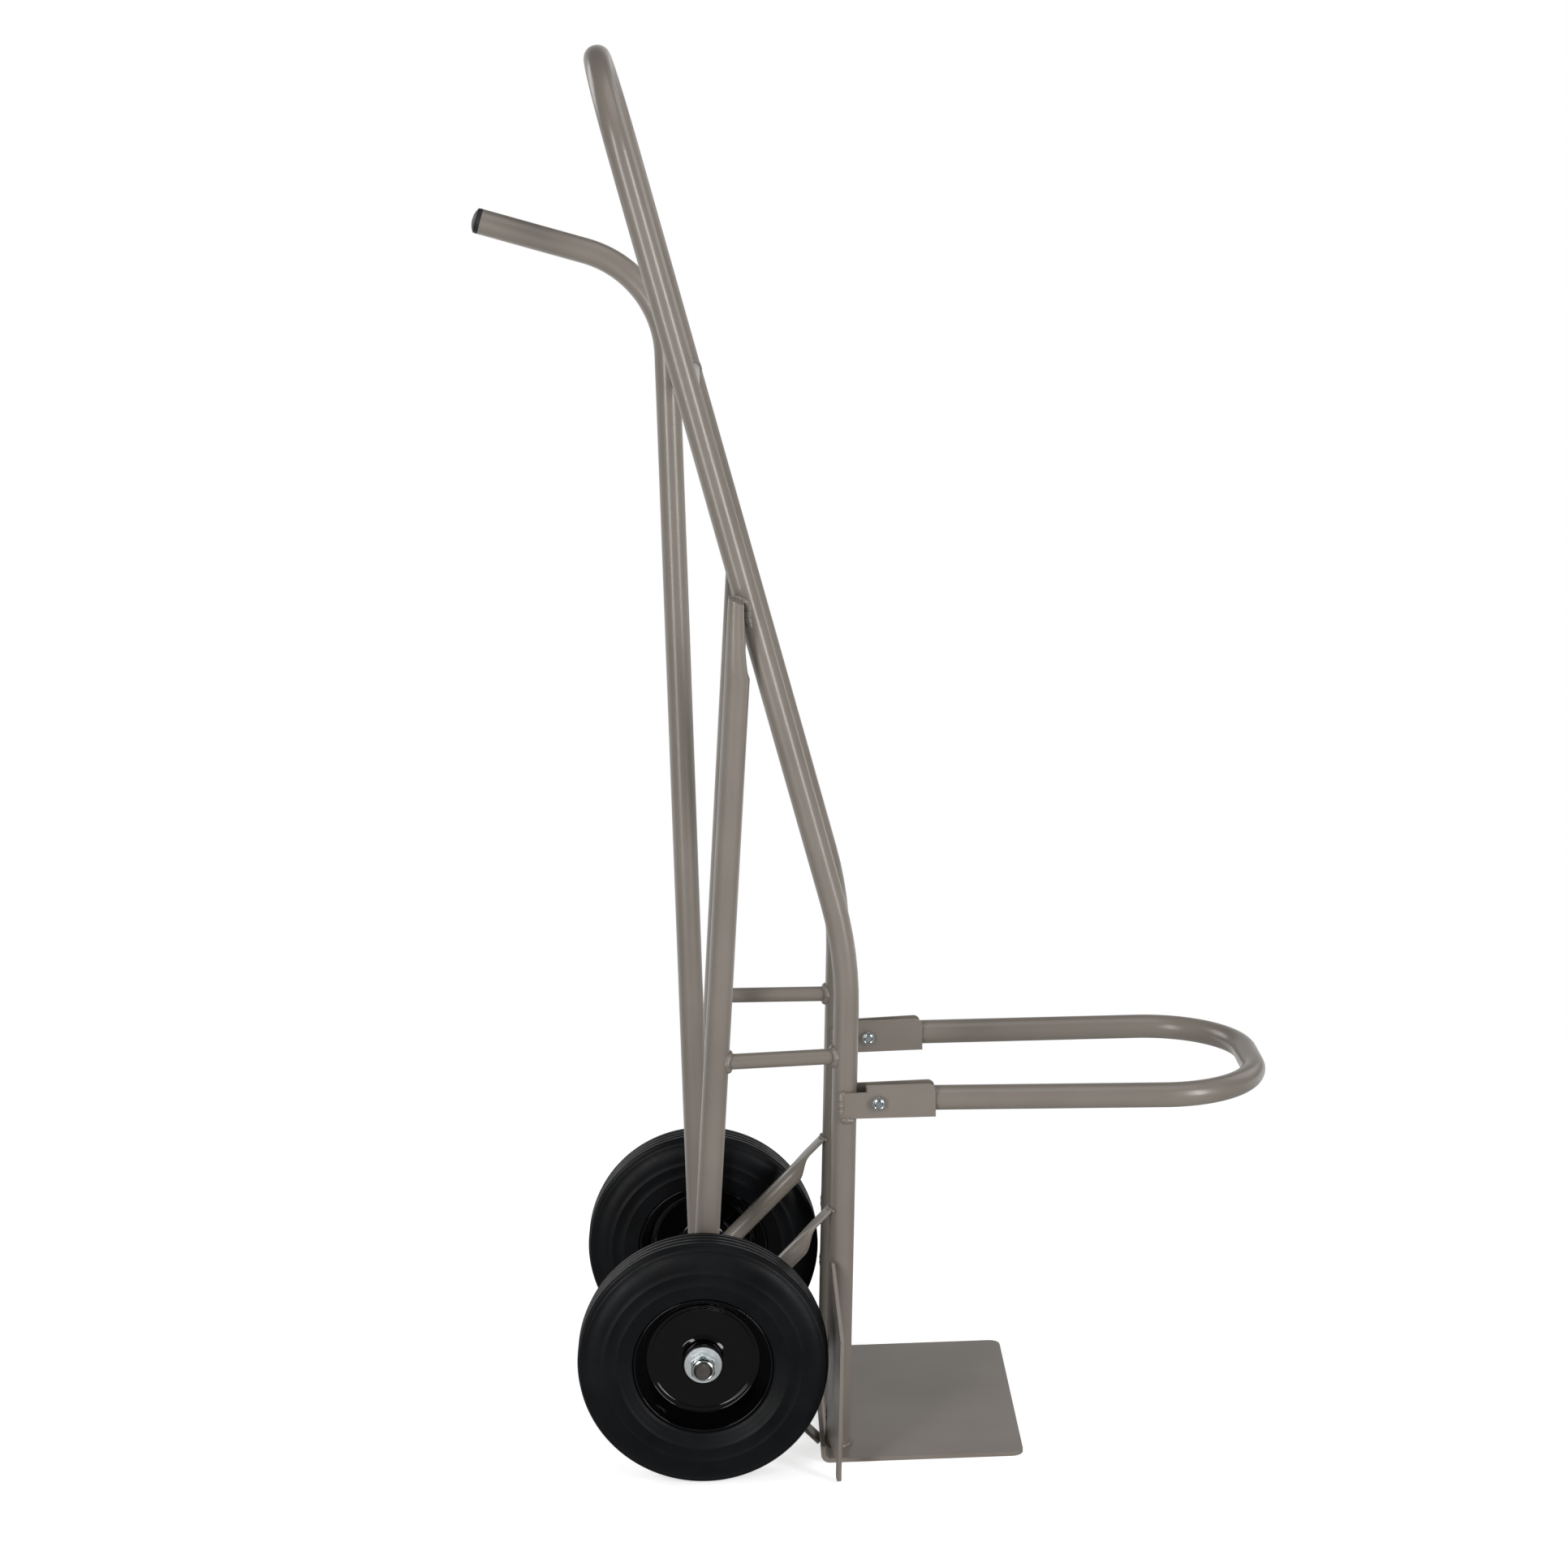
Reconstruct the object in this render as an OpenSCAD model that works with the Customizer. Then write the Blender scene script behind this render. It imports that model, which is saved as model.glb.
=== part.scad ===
// Chair dolly: an upright tube frame on two wheels, with a flat toe plate at the floor,
// a U-shaped arm that folds up on two bolts, and a pull tube bent back at the top.
// Millimetres. X runs forward over the toe plate, Y to the left, Z up from the floor.

/* [Wheels] */
// Outside diameter of each tyre
wheel_diameter = 254; // [240:1:270]
// Width of each tyre
tyre_width = 62; // [56:1:66]
// Distance between the middles of the two tyres
wheel_track = 350; // [346:1:380]
// Diameter of each rim at its outer lip
rim_diameter = 142; // [132:1:150]
// Diameter where the rim meets its flat disc
rim_well_diameter = 114; // [104:1:118]
// Outside diameter of the hub tube
hub_diameter = 42.5; // [41:0.5:48]
// Diameter of the axle rod
axle_diameter = 15.9; // [14:0.1:17]
// Length of the axle rod, end to end
axle_length = 435; // [430:1:470]

/* [Frame tubes] */
// Outside diameter of the hoop, pull tube, braces and swing arm
tube_diameter = 25.4; // [24:0.1:27]
// Wall thickness of every frame tube
tube_wall = 1.8; // [1.4:0.1:2.6]
// Outside diameter of the four struts
strut_diameter = 19; // [17:0.5:21]
// Outside diameter of the two spacer tubes
spacer_diameter = 15.9; // [13:0.1:19]
// Outside diameter of the upper crossbar
crossbar_diameter = 19; // [17:0.5:22]

/* [Hoop] */
// Height of the whole dolly, floor to the top of the hoop
overall_height = 1432; // [1380:1:1500]
// Distance between the middles of the two uprights
upright_spacing = 234; // [226:1:236]
// Clear distance from the tyre to the middle of an upright's foot
upright_setout = 7.7; // [7:0.1:14]
// Forward lean of the lower part of the uprights, degrees
lower_lean = 2.7; // [2:0.1:3.5]
// Backward lean of the upper part of the uprights, degrees
upper_lean = 13.8; // [13:0.1:14.5]
// Height of the bend in the uprights
upright_bend_height = 529; // [510:1:550]
// Centre-line radius of the bend in the uprights
upright_bend_radius = 390; // [250:5:450]
// Centre-line radius of the two bends in the top loop
loop_bend_radius = 101.6; // [80:0.1:110]
// Height of the upper crossbar
crossbar_height = 1100; // [1080:1:1110]

/* [Pull tube] */
// Height at which the pull tube starts to bend back
pull_bend_height = 1126; // [1120:1:1140]
// Centre-line radius of the pull tube's bend
pull_bend_radius = 110.5; // [90:0.5:130]
// Angle of the pull tube's bend, degrees
pull_bend_angle = 72.7; // [65:0.1:80]
// Length of the straight grip behind the bend
pull_grip_length = 105; // [80:1:130]
// Length of the plug that stands out of the grip
plug_length = 11.5; // [8:0.5:15]

/* [Braces and struts] */
// Height of the top of the rear braces
brace_top_height = 895; // [880:1:905]
// Distance between the middles of the rear braces at the axle
brace_foot_spacing = 229; // [222:1:232]
// Length of the flattened top of each rear brace
brace_flat_length = 66; // [50:1:80]
// Height of the two spacer tubes
spacer_height = 422.8; // [410:1:440]
// Height at which the upper struts meet the uprights
upper_strut_height = 259; // [256:1:275]
// Thickness of the flattened ends of the struts
strut_flat_thickness = 5; // [4:0.5:7]

/* [Toe plate and wings] */
// Width of the toe plate across the dolly
toe_width = 315; // [300:1:330]
// Length of the toe plate in front of the uprights' feet
toe_reach = 190.9; // [150:1:220]
// Thickness of the toe plate
toe_thickness = 4.8; // [4:0.1:6]
// Radius of the toe plate's front corners
toe_corner_radius = 12; // [6:1:20]
// Height of the toe plate's bent-up heel
heel_height = 18; // [14:1:20]
// Thickness of the two wing plates
wing_thickness = 4; // [3:0.1:5]
// Height of the wings beside the uprights
wing_tip_height = 208; // [195:1:220]
// Height of the wings' outer corner
wing_corner_height = 152; // [120:1:160]

/* [Swing arm] */
// Height of the arm's two pivot bolts
pivot_height = 377; // [365:1:385]
// Distance from the uprights' middles forward to the pivot bolts
pivot_setout = 34.1; // [33:0.1:38]
// Distance from the pivot bolts to the arm's outer tip
arm_reach = 408.3; // [360:1:450]
// Centre-line radius of the arm's two bends
arm_bend_radius = 101.6; // [90:0.1:110]
// Angle by which each arm tube stands outward, degrees
arm_splay = 1.43; // [0.8:0.01:1.6]
// Angle by which the arm slopes down at rest, degrees
arm_droop = 1.02; // [0.6:0.01:1.3]
// Thickness of the bracket plates
bracket_plate = 2.5; // [2:0.1:3.5]
// Diameter of the pivot bolts
bolt_diameter = 8; // [6:0.5:9]

/* [Part shown] */
// Name of the one sub-part to draw, or all

/* [Hidden] */
$fn = 96;
left = 1;
right = -1;
// Longer than the dolly in every direction, for cutting planes
far = 2000;
// How far a cutter runs past the face it cuts
past = 5;
// Straight tubes run this far into the bends, whose wall is this much thinner on each side
bend_lap = 0.5;
bend_thinning = 0.01;

// Colours of the finishes
paint = "#8a8079";
rubber = "#1b1e22";
gloss_black = "#101114";
zinc = "#b9bcbd";
plastic = "#17181a";

tube_radius = tube_diameter / 2;
wheel_radius = wheel_diameter / 2;
axle_height = wheel_radius;
axle_radius = axle_diameter / 2;

// Uprights: two straight lines that meet at the bend
upright_y = upright_spacing / 2;
upright_foot_x = wheel_radius + upright_setout;
upright_bend_x = upright_foot_x + tan(lower_lean) * upright_bend_height;
upright_bend_angle = lower_lean + upper_lean;
upright_bend_tangent = upright_bend_radius * tan(upright_bend_angle / 2);
lower_upright_length = upright_bend_height / cos(lower_lean) - upright_bend_tangent;
hoop_top = overall_height - tube_radius;
upper_line_length = (hoop_top - upright_bend_height) / cos(upper_lean);
upper_upright_length = upper_line_length - upright_bend_tangent - loop_bend_radius;
loop_straight = upright_spacing - 2 * loop_bend_radius;
function lower_x(z) = upright_foot_x + tan(lower_lean) * z;
function upper_x(z) = upright_bend_x - tan(upper_lean) * (z - upright_bend_height);

// Wheel parts, measured from the wheel's middle plane
wheel_y = wheel_track / 2;
tyre_half = tyre_width / 2;
shoulder_radius = 15;
rim_lip_half = tyre_half - 7.5;
rim_sheet = 2;
rim_bead = 1.6;
rim_lip_radius = rim_diameter / 2;
rim_well_radius = rim_well_diameter / 2;
hub_radius = hub_diameter / 2;
hub_wall = 3.75;
hub_half = 19.7;
bearing_width = 11;
bearing_fit = 0.06;
shield_depth = 0.8;
shield_band = 2.2;
groove_width = 1.6;
groove_depth = 2;
groove_places = [8, 14, 19.5];

// Axle parts
axle_tube_radius = tube_radius;
axle_tube_fit = 0.1;
side_gap = 0.3;
washer_radius = 19;
washer_thickness = 2.2;
axle_nut_flats = 23.8;
axle_nut_height = 10;
axle_collar_height = 4;
axle_collar_radius = 10.4;
axle_chamfer = 1.2;
inner_washer_y = wheel_y - hub_half - side_gap - washer_thickness;
outer_washer_y = wheel_y + hub_half + side_gap;
axle_nut_y = outer_washer_y + washer_thickness;

// Pull tube and crossbar: the crossbar touches the pull tube's front
pull_x = -1.1;
pull_rise = pull_bend_height - axle_height;
crossbar_x = pull_x + tube_radius + crossbar_diameter / 2;
pull_end_x = pull_x - pull_bend_radius * (1 - cos(pull_bend_angle)) - pull_grip_length * sin(pull_bend_angle);
pull_end_z = pull_bend_height + pull_bend_radius * sin(pull_bend_angle) + pull_grip_length * cos(pull_bend_angle);
plug_dome = plug_length / 2;
plug_dome_radius = (pow(tube_radius, 2) + pow(plug_dome, 2)) / (2 * plug_dome);
plug_stem = 15;

// Rear braces: straight lines from the axle to the outer rear of the uprights
brace_foot = [-1.5, -brace_foot_spacing / 2, axle_height];
brace_flat_depth = 15.6;
brace_flat_width = 31;
brace_slab = 3;
brace_top_cut = 25;
brace_top_x = upper_x(brace_top_height) - 5.6;
brace_top_y = upright_y + tube_radius + brace_flat_width / 2 - 1.3;
brace_top = [brace_top_x, -brace_top_y, brace_top_height];
brace_length = norm(brace_top - brace_foot);
function brace_at(z) = brace_foot + (brace_top - brace_foot) * (z - axle_height) / (brace_top_height - axle_height);

// Struts
strut_flat_width = 27;
upper_strut_flat = 32;
lower_strut_flat = 40;
lower_strut_flat_width = 32;
strut_slab = 2;
strut_overlap = 2;
strut_cope = 3;
upper_strut_foot = [0, -upright_y, axle_height];
upper_strut_top = [lower_x(upper_strut_height) - tube_radius, -upright_y, upper_strut_height];
lower_strut_top = [0, -upright_y, axle_height + 13.4];
lower_strut_foot = [upright_foot_x - tube_radius, -upright_y, 17];

// Toe plate: the heel stands just behind the uprights
heel_gap = 0.2;
heel_bend_radius = 9;
heel_x = upright_foot_x - tube_radius / cos(lower_lean) - heel_gap + tan(lower_lean) * toe_thickness - toe_thickness;
toe_front_x = upright_foot_x + toe_reach;

// Wings: flat plates on the uprights' outer sides that turn forward as they go out
wing_turn = 5.8;
wing_inner = 8;
wing_shoulder = 18.7;
wing_outer = 95;
wing_floor_gap = 1.5;
wing_notch = 1.5;
wing_foot_width = 14;
wing_foot_corner = 4;

// Swing arm and brackets, measured from the pivot bolts
arm_side_gap = 0.65;
arm_rest_gap = 0.35;
arm_tail = 12;
pivot_fit = 0.08;
bolt_fit = 0.05;
pivot_x = lower_x(pivot_height) + pivot_setout;
pivot_y = upright_y + pivot_setout * tan(arm_splay);
arm_line_length = (arm_reach - tube_radius) / cos(arm_droop) - arm_bend_radius * (1 + sin(arm_splay));
arm_tube_length = arm_line_length / cos(arm_splay) + arm_tail;
arm_bend_y = pivot_y + arm_line_length * tan(arm_splay);
arm_straight = 2 * (arm_bend_y - arm_bend_radius * cos(arm_splay));
bracket_front = 58;
bracket_rear = pivot_setout + 3.4;
bracket_step = 10.6;
bracket_low_top = 10.5;
bracket_high_top = 18;
bracket_far_top_rear = 12;
bracket_far_top_front = 13.8;
bracket_corner = 7;
bracket_inner_half = tube_radius + arm_side_gap;
bracket_outer_half = bracket_inner_half + bracket_plate;
bracket_web_top = tube_radius / cos(arm_droop) + bracket_front * tan(arm_droop) + arm_rest_gap;
bracket_bottom = bracket_web_top + bracket_plate;
bracket_web_rear = norm([arm_tail, tube_radius]) * 0.72 + 1;
bracket_weld_radius = 2.6;
bolt_radius = bolt_diameter / 2;
bolt_head_flats = bolt_diameter * 1.625;
bolt_head_height = bolt_diameter * 0.66;
bolt_nut_height = bolt_diameter * 0.66;
bolt_collar_height = bolt_diameter * 0.3;
bolt_collar_radius = bolt_diameter * 0.72;
bolt_end = 1.5;
bolt_face_gap = 0.05;
bolt_face = bracket_outer_half / cos(arm_splay) + bolt_head_flats / 2 / cos(30) * tan(arm_splay) + bolt_face_gap;

// The origin is the middle of the floor area, so the axle stands behind it
x_front = pivot_x + arm_reach;
x_rear = pull_end_x - sin(pull_bend_angle) * (plug_length - plug_dome_radius) - plug_dome_radius;
axle_x = -(x_front + x_rear) / 2;

// Moves a part from the axle's frame to the dolly's own
module placed() {
    translate([axle_x, 0, 0]) children();
}

// Draws a part made for the right side on either side
module on_side(side) {
    mirror([0, side == left ? 1 : 0, 0]) children();
}

// Turns +Z along the line from one point to another
module along(from, to) {
    line = to - from;
    translate(from) rotate([-asin(line[1] / norm(line)), atan2(line[0], line[2]), 0]) children();
}

// Hexagonal prism of a given size across its flats
module hexagon(flats, height) {
    cylinder(d = flats / cos(30), h = height, $fn = 6);
}

// Straight tube along +Z
module tube(diameter, wall, length) {
    difference() {
        cylinder(d = diameter, h = length);
        translate([0, 0, -past]) cylinder(d = diameter - 2 * wall, h = length + 2 * past);
    }
}

// Bent tube that starts along +Z and turns towards +X
module tube_bend(diameter, wall, radius, angle) {
    translate([radius, 0, 0]) rotate([90, 0, 180]) rotate_extrude(angle = angle)
        translate([radius, 0]) difference() {
            circle(d = diameter - 2 * bend_thinning);
            circle(d = diameter - 2 * wall + 2 * bend_thinning);
        }
}

// One tube through a list of steps: straight length, bend radius, bend angle, bend direction
module tube_path(diameter, wall, steps, i = 0) {
    lap_before = i > 0 ? bend_lap : 0;
    lap_after = i < len(steps) - 1 ? bend_lap : 0;
    translate([0, 0, -lap_before]) tube(diameter, wall, lap_before + steps[i][0] + lap_after);
    if (i < len(steps) - 1)
        translate([0, 0, steps[i][0]]) rotate([0, 0, steps[i][3]]) {
            tube_bend(diameter, wall, steps[i][1], steps[i][2]);
            translate([steps[i][1], 0, 0]) rotate([0, steps[i][2], 0]) translate([-steps[i][1], 0, 0])
                tube_path(diameter, wall, steps, i + 1);
        }
}

// Outline of a flattened tube, thin along X
module flattened_outline(depth, width) {
    square([depth, width - depth], center = true);
    for (end = [-1, 1])
        translate([0, end * (width - depth) / 2]) circle(d = depth);
}

// Flattened length of tube
module flattened(depth, width, wall, length) {
    linear_extrude(height = length) difference() {
        flattened_outline(depth, width);
        if (depth > 3 * wall)
            flattened_outline(depth - 2 * wall, width - 2 * wall);
    }
}

// Solid bars in the place of frame tubes, for cutting the ends of the tubes welded to them
module lower_upright_space() {
    translate([upright_foot_x, -upright_y, 0]) rotate([0, lower_lean, 0])
        cylinder(d = tube_diameter, h = lower_upright_length);
}

module upper_upright_space() {
    translate([upright_bend_x, -upright_y, upright_bend_height]) rotate([0, -upper_lean, 0])
        cylinder(d = tube_diameter, h = upper_line_length);
}

module axle_tube_space() {
    translate([0, -inner_washer_y, axle_height]) rotate([-90, 0, 0])
        cylinder(r = axle_tube_radius, h = 2 * inner_washer_y);
}

// The upper strut's round length and all that lies above and behind its middle
module upper_strut_space() {
    along(upper_strut_foot, upper_strut_top) {
        cylinder(d = strut_diameter, h = norm(upper_strut_top - upper_strut_foot) - upper_strut_flat);
        translate([-far, -far / 2, -far / 2]) cube(far);
    }
}

module brace_space() {
    along(brace_foot, brace_top) cylinder(d = tube_diameter, h = brace_length - brace_flat_length);
}

// Wedge over the toe plate's bend, for clearing the rear edge of the uprights' feet
module toe_bend_space() {
    reach = heel_bend_radius - toe_thickness + heel_gap;
    translate([heel_x + toe_thickness, 0, toe_thickness]) rotate([90, 0, 0])
        linear_extrude(height = far, center = true)
            polygon([[-past, -past], [reach + past, -past], [-past, reach + past]]);
}

// Both uprights and the top loop, bent from one tube, standing on the toe plate
module main_hoop() {
    color(paint) placed() difference() {
        translate([upright_foot_x, -upright_y, 0]) rotate([0, lower_lean, 0])
            tube_path(tube_diameter, tube_wall, [
                [lower_upright_length, upright_bend_radius, upright_bend_angle, 180],
                [upper_upright_length, loop_bend_radius, 90, -90],
                [loop_straight, loop_bend_radius, 90, 0],
                [upper_upright_length, upright_bend_radius, upright_bend_angle, 90],
                [lower_upright_length, 0, 0, 0]
            ]);
        translate([-far / 2, -far / 2, toe_thickness - far]) cube(far);
        toe_bend_space();
    }
}

// Thin tube between the uprights, its ends cut to fit their round sides
module upper_crossbar() {
    color(paint) placed() difference() {
        translate([crossbar_x, -upright_y, crossbar_height]) rotate([-90, 0, 0])
            tube(crossbar_diameter, tube_wall, upright_spacing);
        for (side = [left, right])
            on_side(side) upper_upright_space();
    }
}

// Pull tube from the axle tube to the bent-back grip
module pull_tube() {
    color(paint) placed() difference() {
        translate([pull_x, 0, axle_height])
            tube_path(tube_diameter, tube_wall, [
                [pull_rise, pull_bend_radius, pull_bend_angle, 180],
                [pull_grip_length, 0, 0, 0]
            ]);
        axle_tube_space();
    }
}

// Domed plug in the end of the pull tube
module handle_plug() {
    color(plastic) placed() translate([pull_end_x, 0, pull_end_z]) rotate([0, -pull_bend_angle, 0]) {
        intersection() {
            cylinder(d = tube_diameter, h = plug_length);
            translate([0, 0, plug_length - plug_dome_radius]) sphere(r = plug_dome_radius);
        }
        translate([0, 0, -plug_stem]) cylinder(d = tube_diameter - 2 * tube_wall, h = plug_stem);
    }
}

// Rear brace: round up to its flattened top, which is cut at a slope
module rear_brace(side) {
    round_length = brace_length - brace_flat_length;
    color(paint) placed() on_side(side) difference() {
        along(brace_foot, brace_top) {
            tube(tube_diameter, tube_wall, round_length);
            translate([0, 0, round_length - brace_slab]) cylinder(d = tube_diameter, h = brace_slab);
            translate([0, 0, round_length])
                flattened(brace_flat_depth, brace_flat_width, tube_wall, brace_flat_length + past);
        }
        translate(brace_top) rotate([0, brace_top_cut, 0])
            translate([-far / 2, -far / 2, 0]) cube(far);
        axle_tube_space();
        upper_upright_space();
    }
}

// Spacer tube from the rear brace to the upright
module spacer(side) {
    rear = brace_at(spacer_height);
    front = [lower_x(spacer_height), -upright_y, spacer_height];
    color(paint) placed() on_side(side) difference() {
        along(rear, front) tube(spacer_diameter, tube_wall, norm(front - rear));
        brace_space();
        lower_upright_space();
    }
}

// Upper strut: round from the axle tube, flattened where it meets the upright
module upper_strut(side) {
    length = norm(upper_strut_top - upper_strut_foot);
    round_length = length - upper_strut_flat;
    color(paint) placed() on_side(side) difference() {
        along(upper_strut_foot, upper_strut_top) {
            tube(strut_diameter, tube_wall, round_length);
            translate([0, 0, round_length - strut_slab]) cylinder(d = strut_diameter, h = strut_slab);
            translate([0, 0, round_length])
                flattened(strut_flat_thickness, strut_flat_width, tube_wall, upper_strut_flat + strut_overlap);
        }
        axle_tube_space();
        brace_space();
        lower_upright_space();
    }
}

// Lower strut: round from the axle tube, flattened the other way at the upright's foot
module lower_strut(side) {
    length = norm(lower_strut_foot - lower_strut_top);
    round_length = length - lower_strut_flat;
    color(paint) placed() on_side(side) difference() {
        along(lower_strut_top, lower_strut_foot) {
            tube(strut_diameter, tube_wall, round_length);
            translate([0, 0, round_length - strut_slab]) cylinder(d = strut_diameter, h = strut_slab);
            translate([0, 0, round_length]) rotate([0, 0, 90])
                flattened(strut_flat_thickness, lower_strut_flat_width, tube_wall, lower_strut_flat + past);
        }
        axle_tube_space();
        upper_strut_space();
        brace_space();
        lower_upright_space();
        wing_front_space();
        strut_front_space();
        translate([heel_x, -far / 2, -past]) cube([far, far, heel_height + past]);
        translate([-far / 2, -far / 2, toe_thickness - far]) cube(far);
    }
}

// Tube across the dolly that carries the axle rod
module axle_tube() {
    color(paint) placed() difference() {
        axle_tube_space();
        translate([0, -far / 2, axle_height]) rotate([-90, 0, 0])
            cylinder(r = axle_radius + axle_tube_fit, h = far);
    }
}

// Axle rod with chamfered ends
module axle_rod() {
    color(zinc) placed() translate([0, 0, axle_height]) rotate([-90, 0, 0]) {
        translate([0, 0, axle_chamfer - axle_length / 2])
            cylinder(r = axle_radius, h = axle_length - 2 * axle_chamfer);
        for (end = [0, 1])
            mirror([0, 0, end]) translate([0, 0, axle_length / 2 - axle_chamfer])
                cylinder(r1 = axle_radius, r2 = axle_radius - axle_chamfer, h = axle_chamfer);
    }
}

// Inner and outer washers of both wheels
module axle_washers() {
    color(zinc) placed() for (side = [left, right])
        on_side(side) for (y = [inner_washer_y, outer_washer_y])
            translate([0, -y - washer_thickness, axle_height]) rotate([-90, 0, 0]) difference() {
                cylinder(r = washer_radius, h = washer_thickness);
                translate([0, 0, -past]) cylinder(r = axle_radius, h = washer_thickness + 2 * past);
            }
}

// Lock nuts on both ends of the axle, each with a round collar
module axle_nuts() {
    color(zinc) placed() for (side = [left, right])
        on_side(side) translate([0, -axle_nut_y, axle_height]) rotate([90, 0, 0]) difference() {
            union() {
                hexagon(axle_nut_flats, axle_nut_height);
                translate([0, 0, axle_nut_height])
                    cylinder(r = axle_collar_radius, h = axle_collar_height);
            }
            translate([0, 0, -past])
                cylinder(r = axle_radius, h = axle_nut_height + axle_collar_height + 2 * past);
        }
}

// Side outline of the toe plate: the flat, the heel's bend and the short upright heel
module toe_outline() {
    translate([heel_x + heel_bend_radius, 0])
        square([toe_front_x - heel_x - heel_bend_radius, toe_thickness]);
    translate([heel_x, heel_bend_radius]) square([toe_thickness, heel_height - heel_bend_radius]);
    intersection() {
        translate([heel_x + heel_bend_radius, heel_bend_radius]) difference() {
            circle(r = heel_bend_radius);
            circle(r = heel_bend_radius - toe_thickness);
        }
        translate([heel_x, 0]) square(heel_bend_radius);
    }
}

// Toe plate with rounded front corners
module toe_plate() {
    color(paint) placed() intersection() {
        rotate([90, 0, 0]) linear_extrude(height = toe_width, center = true) toe_outline();
        union() {
            translate([0, -toe_width / 2, -past])
                cube([toe_front_x - toe_corner_radius, toe_width, heel_height + 2 * past]);
            translate([0, toe_corner_radius - toe_width / 2, -past])
                cube([toe_front_x, toe_width - 2 * toe_corner_radius, heel_height + 2 * past]);
            for (side = [left, right])
                translate([toe_front_x - toe_corner_radius, side * (toe_width / 2 - toe_corner_radius), -past])
                    cylinder(r = toe_corner_radius, h = heel_height + 2 * past);
        }
    }
}

// Everything forward of the lower strut's end, which wraps a little way round the upright's foot
module strut_front_space() {
    translate([upright_foot_x, -upright_y, 0]) rotate([0, lower_lean, 0])
        translate([strut_cope - tube_radius, -far / 2, -past]) cube([far, far, wing_tip_height]);
}

// Everything from the wing's rear face forward
module wing_front_space() {
    translate([upright_foot_x, -upright_y, 0]) rotate([0, lower_lean, 0]) rotate([0, 0, wing_turn])
        translate([-tube_radius, -wing_outer, -past])
            cube([far, wing_outer - wing_inner, wing_tip_height]);
}

// Wing plate: its rear face is level with the upright's rear, and it stands on a narrow foot
module wing(side) {
    foot_inner = wing_outer - wing_foot_width;
    color(paint) placed() on_side(side) difference() {
        translate([upright_foot_x, -upright_y, 0]) rotate([0, lower_lean, 0]) rotate([0, 0, wing_turn])
            translate([-tube_radius, 0, 0]) rotate([90, 0, 90])
                linear_extrude(height = wing_thickness) polygon([
                    [-wing_inner, heel_height + wing_notch],
                    [-wing_inner, wing_tip_height],
                    [-wing_shoulder, wing_tip_height],
                    [-wing_outer, wing_corner_height],
                    [-wing_outer, wing_floor_gap + wing_foot_corner],
                    [-wing_outer + wing_foot_corner, wing_floor_gap],
                    [-foot_inner - wing_foot_corner, wing_floor_gap],
                    [-foot_inner, wing_floor_gap + wing_foot_corner],
                    [-foot_inner, heel_height + wing_notch]
                ]);
        lower_upright_space();
    }
}

// Outline of a bracket's plate with a rounded front corner
module bracket_outline(points, top) {
    difference() {
        polygon(points);
        translate([bracket_front - bracket_corner, top - bracket_corner]) difference() {
            square(bracket_corner + past);
            circle(r = bracket_corner);
        }
    }
}

// Channel that holds one end of the swing arm; both brackets are alike, not mirrored
module bracket(side) {
    color(paint) placed() difference() {
        translate([lower_x(pivot_height), side * upright_y, pivot_height])
            rotate([0, 0, side * arm_splay]) translate([pivot_setout, 0, 0]) {
                translate([0, -bracket_inner_half, 0]) rotate([90, 0, 0])
                    linear_extrude(height = bracket_plate) bracket_outline([
                        [-bracket_rear, -bracket_bottom], [-bracket_rear, bracket_low_top],
                        [-bracket_step, bracket_low_top], [-bracket_step, bracket_high_top],
                        [bracket_front, bracket_high_top], [bracket_front, -bracket_bottom]
                    ], bracket_high_top);
                translate([0, bracket_outer_half, 0]) rotate([90, 0, 0])
                    linear_extrude(height = bracket_plate) bracket_outline([
                        [-bracket_rear, -bracket_bottom], [-bracket_rear, bracket_far_top_rear],
                        [bracket_front, bracket_far_top_front], [bracket_front, -bracket_bottom]
                    ], bracket_far_top_front);
                translate([bracket_web_rear, -bracket_outer_half, -bracket_bottom])
                    cube([bracket_front - bracket_web_rear, 2 * bracket_outer_half, bracket_plate]);
                for (plate = [-1, 1])
                    translate([-bracket_rear, plate * bracket_inner_half, -bracket_bottom])
                        cylinder(r = bracket_weld_radius, h = bracket_bottom + bracket_low_top);
            }
        translate([pivot_x, -far / 2, pivot_height]) rotate([-90, 0, 0])
            cylinder(r = bolt_radius + bolt_fit, h = far);
        on_side(side) lower_upright_space();
    }
}

// U-shaped arm with a cross hole near each end for the pivot bolts
module swing_arm() {
    color(paint) placed() difference() {
        translate([pivot_x, 0, pivot_height]) rotate([0, arm_droop, 0])
            translate([-arm_tail * cos(arm_splay), arm_tail * sin(arm_splay) - pivot_y, 0])
                rotate([0, 0, -arm_splay]) rotate([0, 90, 0])
                    tube_path(tube_diameter, tube_wall, [
                        [arm_tube_length, arm_bend_radius, 90 + arm_splay, 90],
                        [arm_straight, arm_bend_radius, 90 + arm_splay, 0],
                        [arm_tube_length, 0, 0, 0]
                    ]);
        translate([pivot_x, -far / 2, pivot_height]) rotate([-90, 0, 0])
            cylinder(r = bolt_radius + pivot_fit, h = far);
    }
}

// Two hex bolts through the brackets, heads towards the left
module pivot_bolts() {
    color(zinc) placed() for (side = [left, right])
        translate([pivot_x, side * pivot_y, pivot_height]) rotate([90, 0, 0]) {
            translate([0, 0, -bolt_face - bolt_head_height]) hexagon(bolt_head_flats, bolt_head_height);
            translate([0, 0, -bolt_face])
                cylinder(r = bolt_radius, h = 2 * bolt_face + bolt_nut_height + bolt_collar_height + bolt_end);
        }
}

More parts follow.
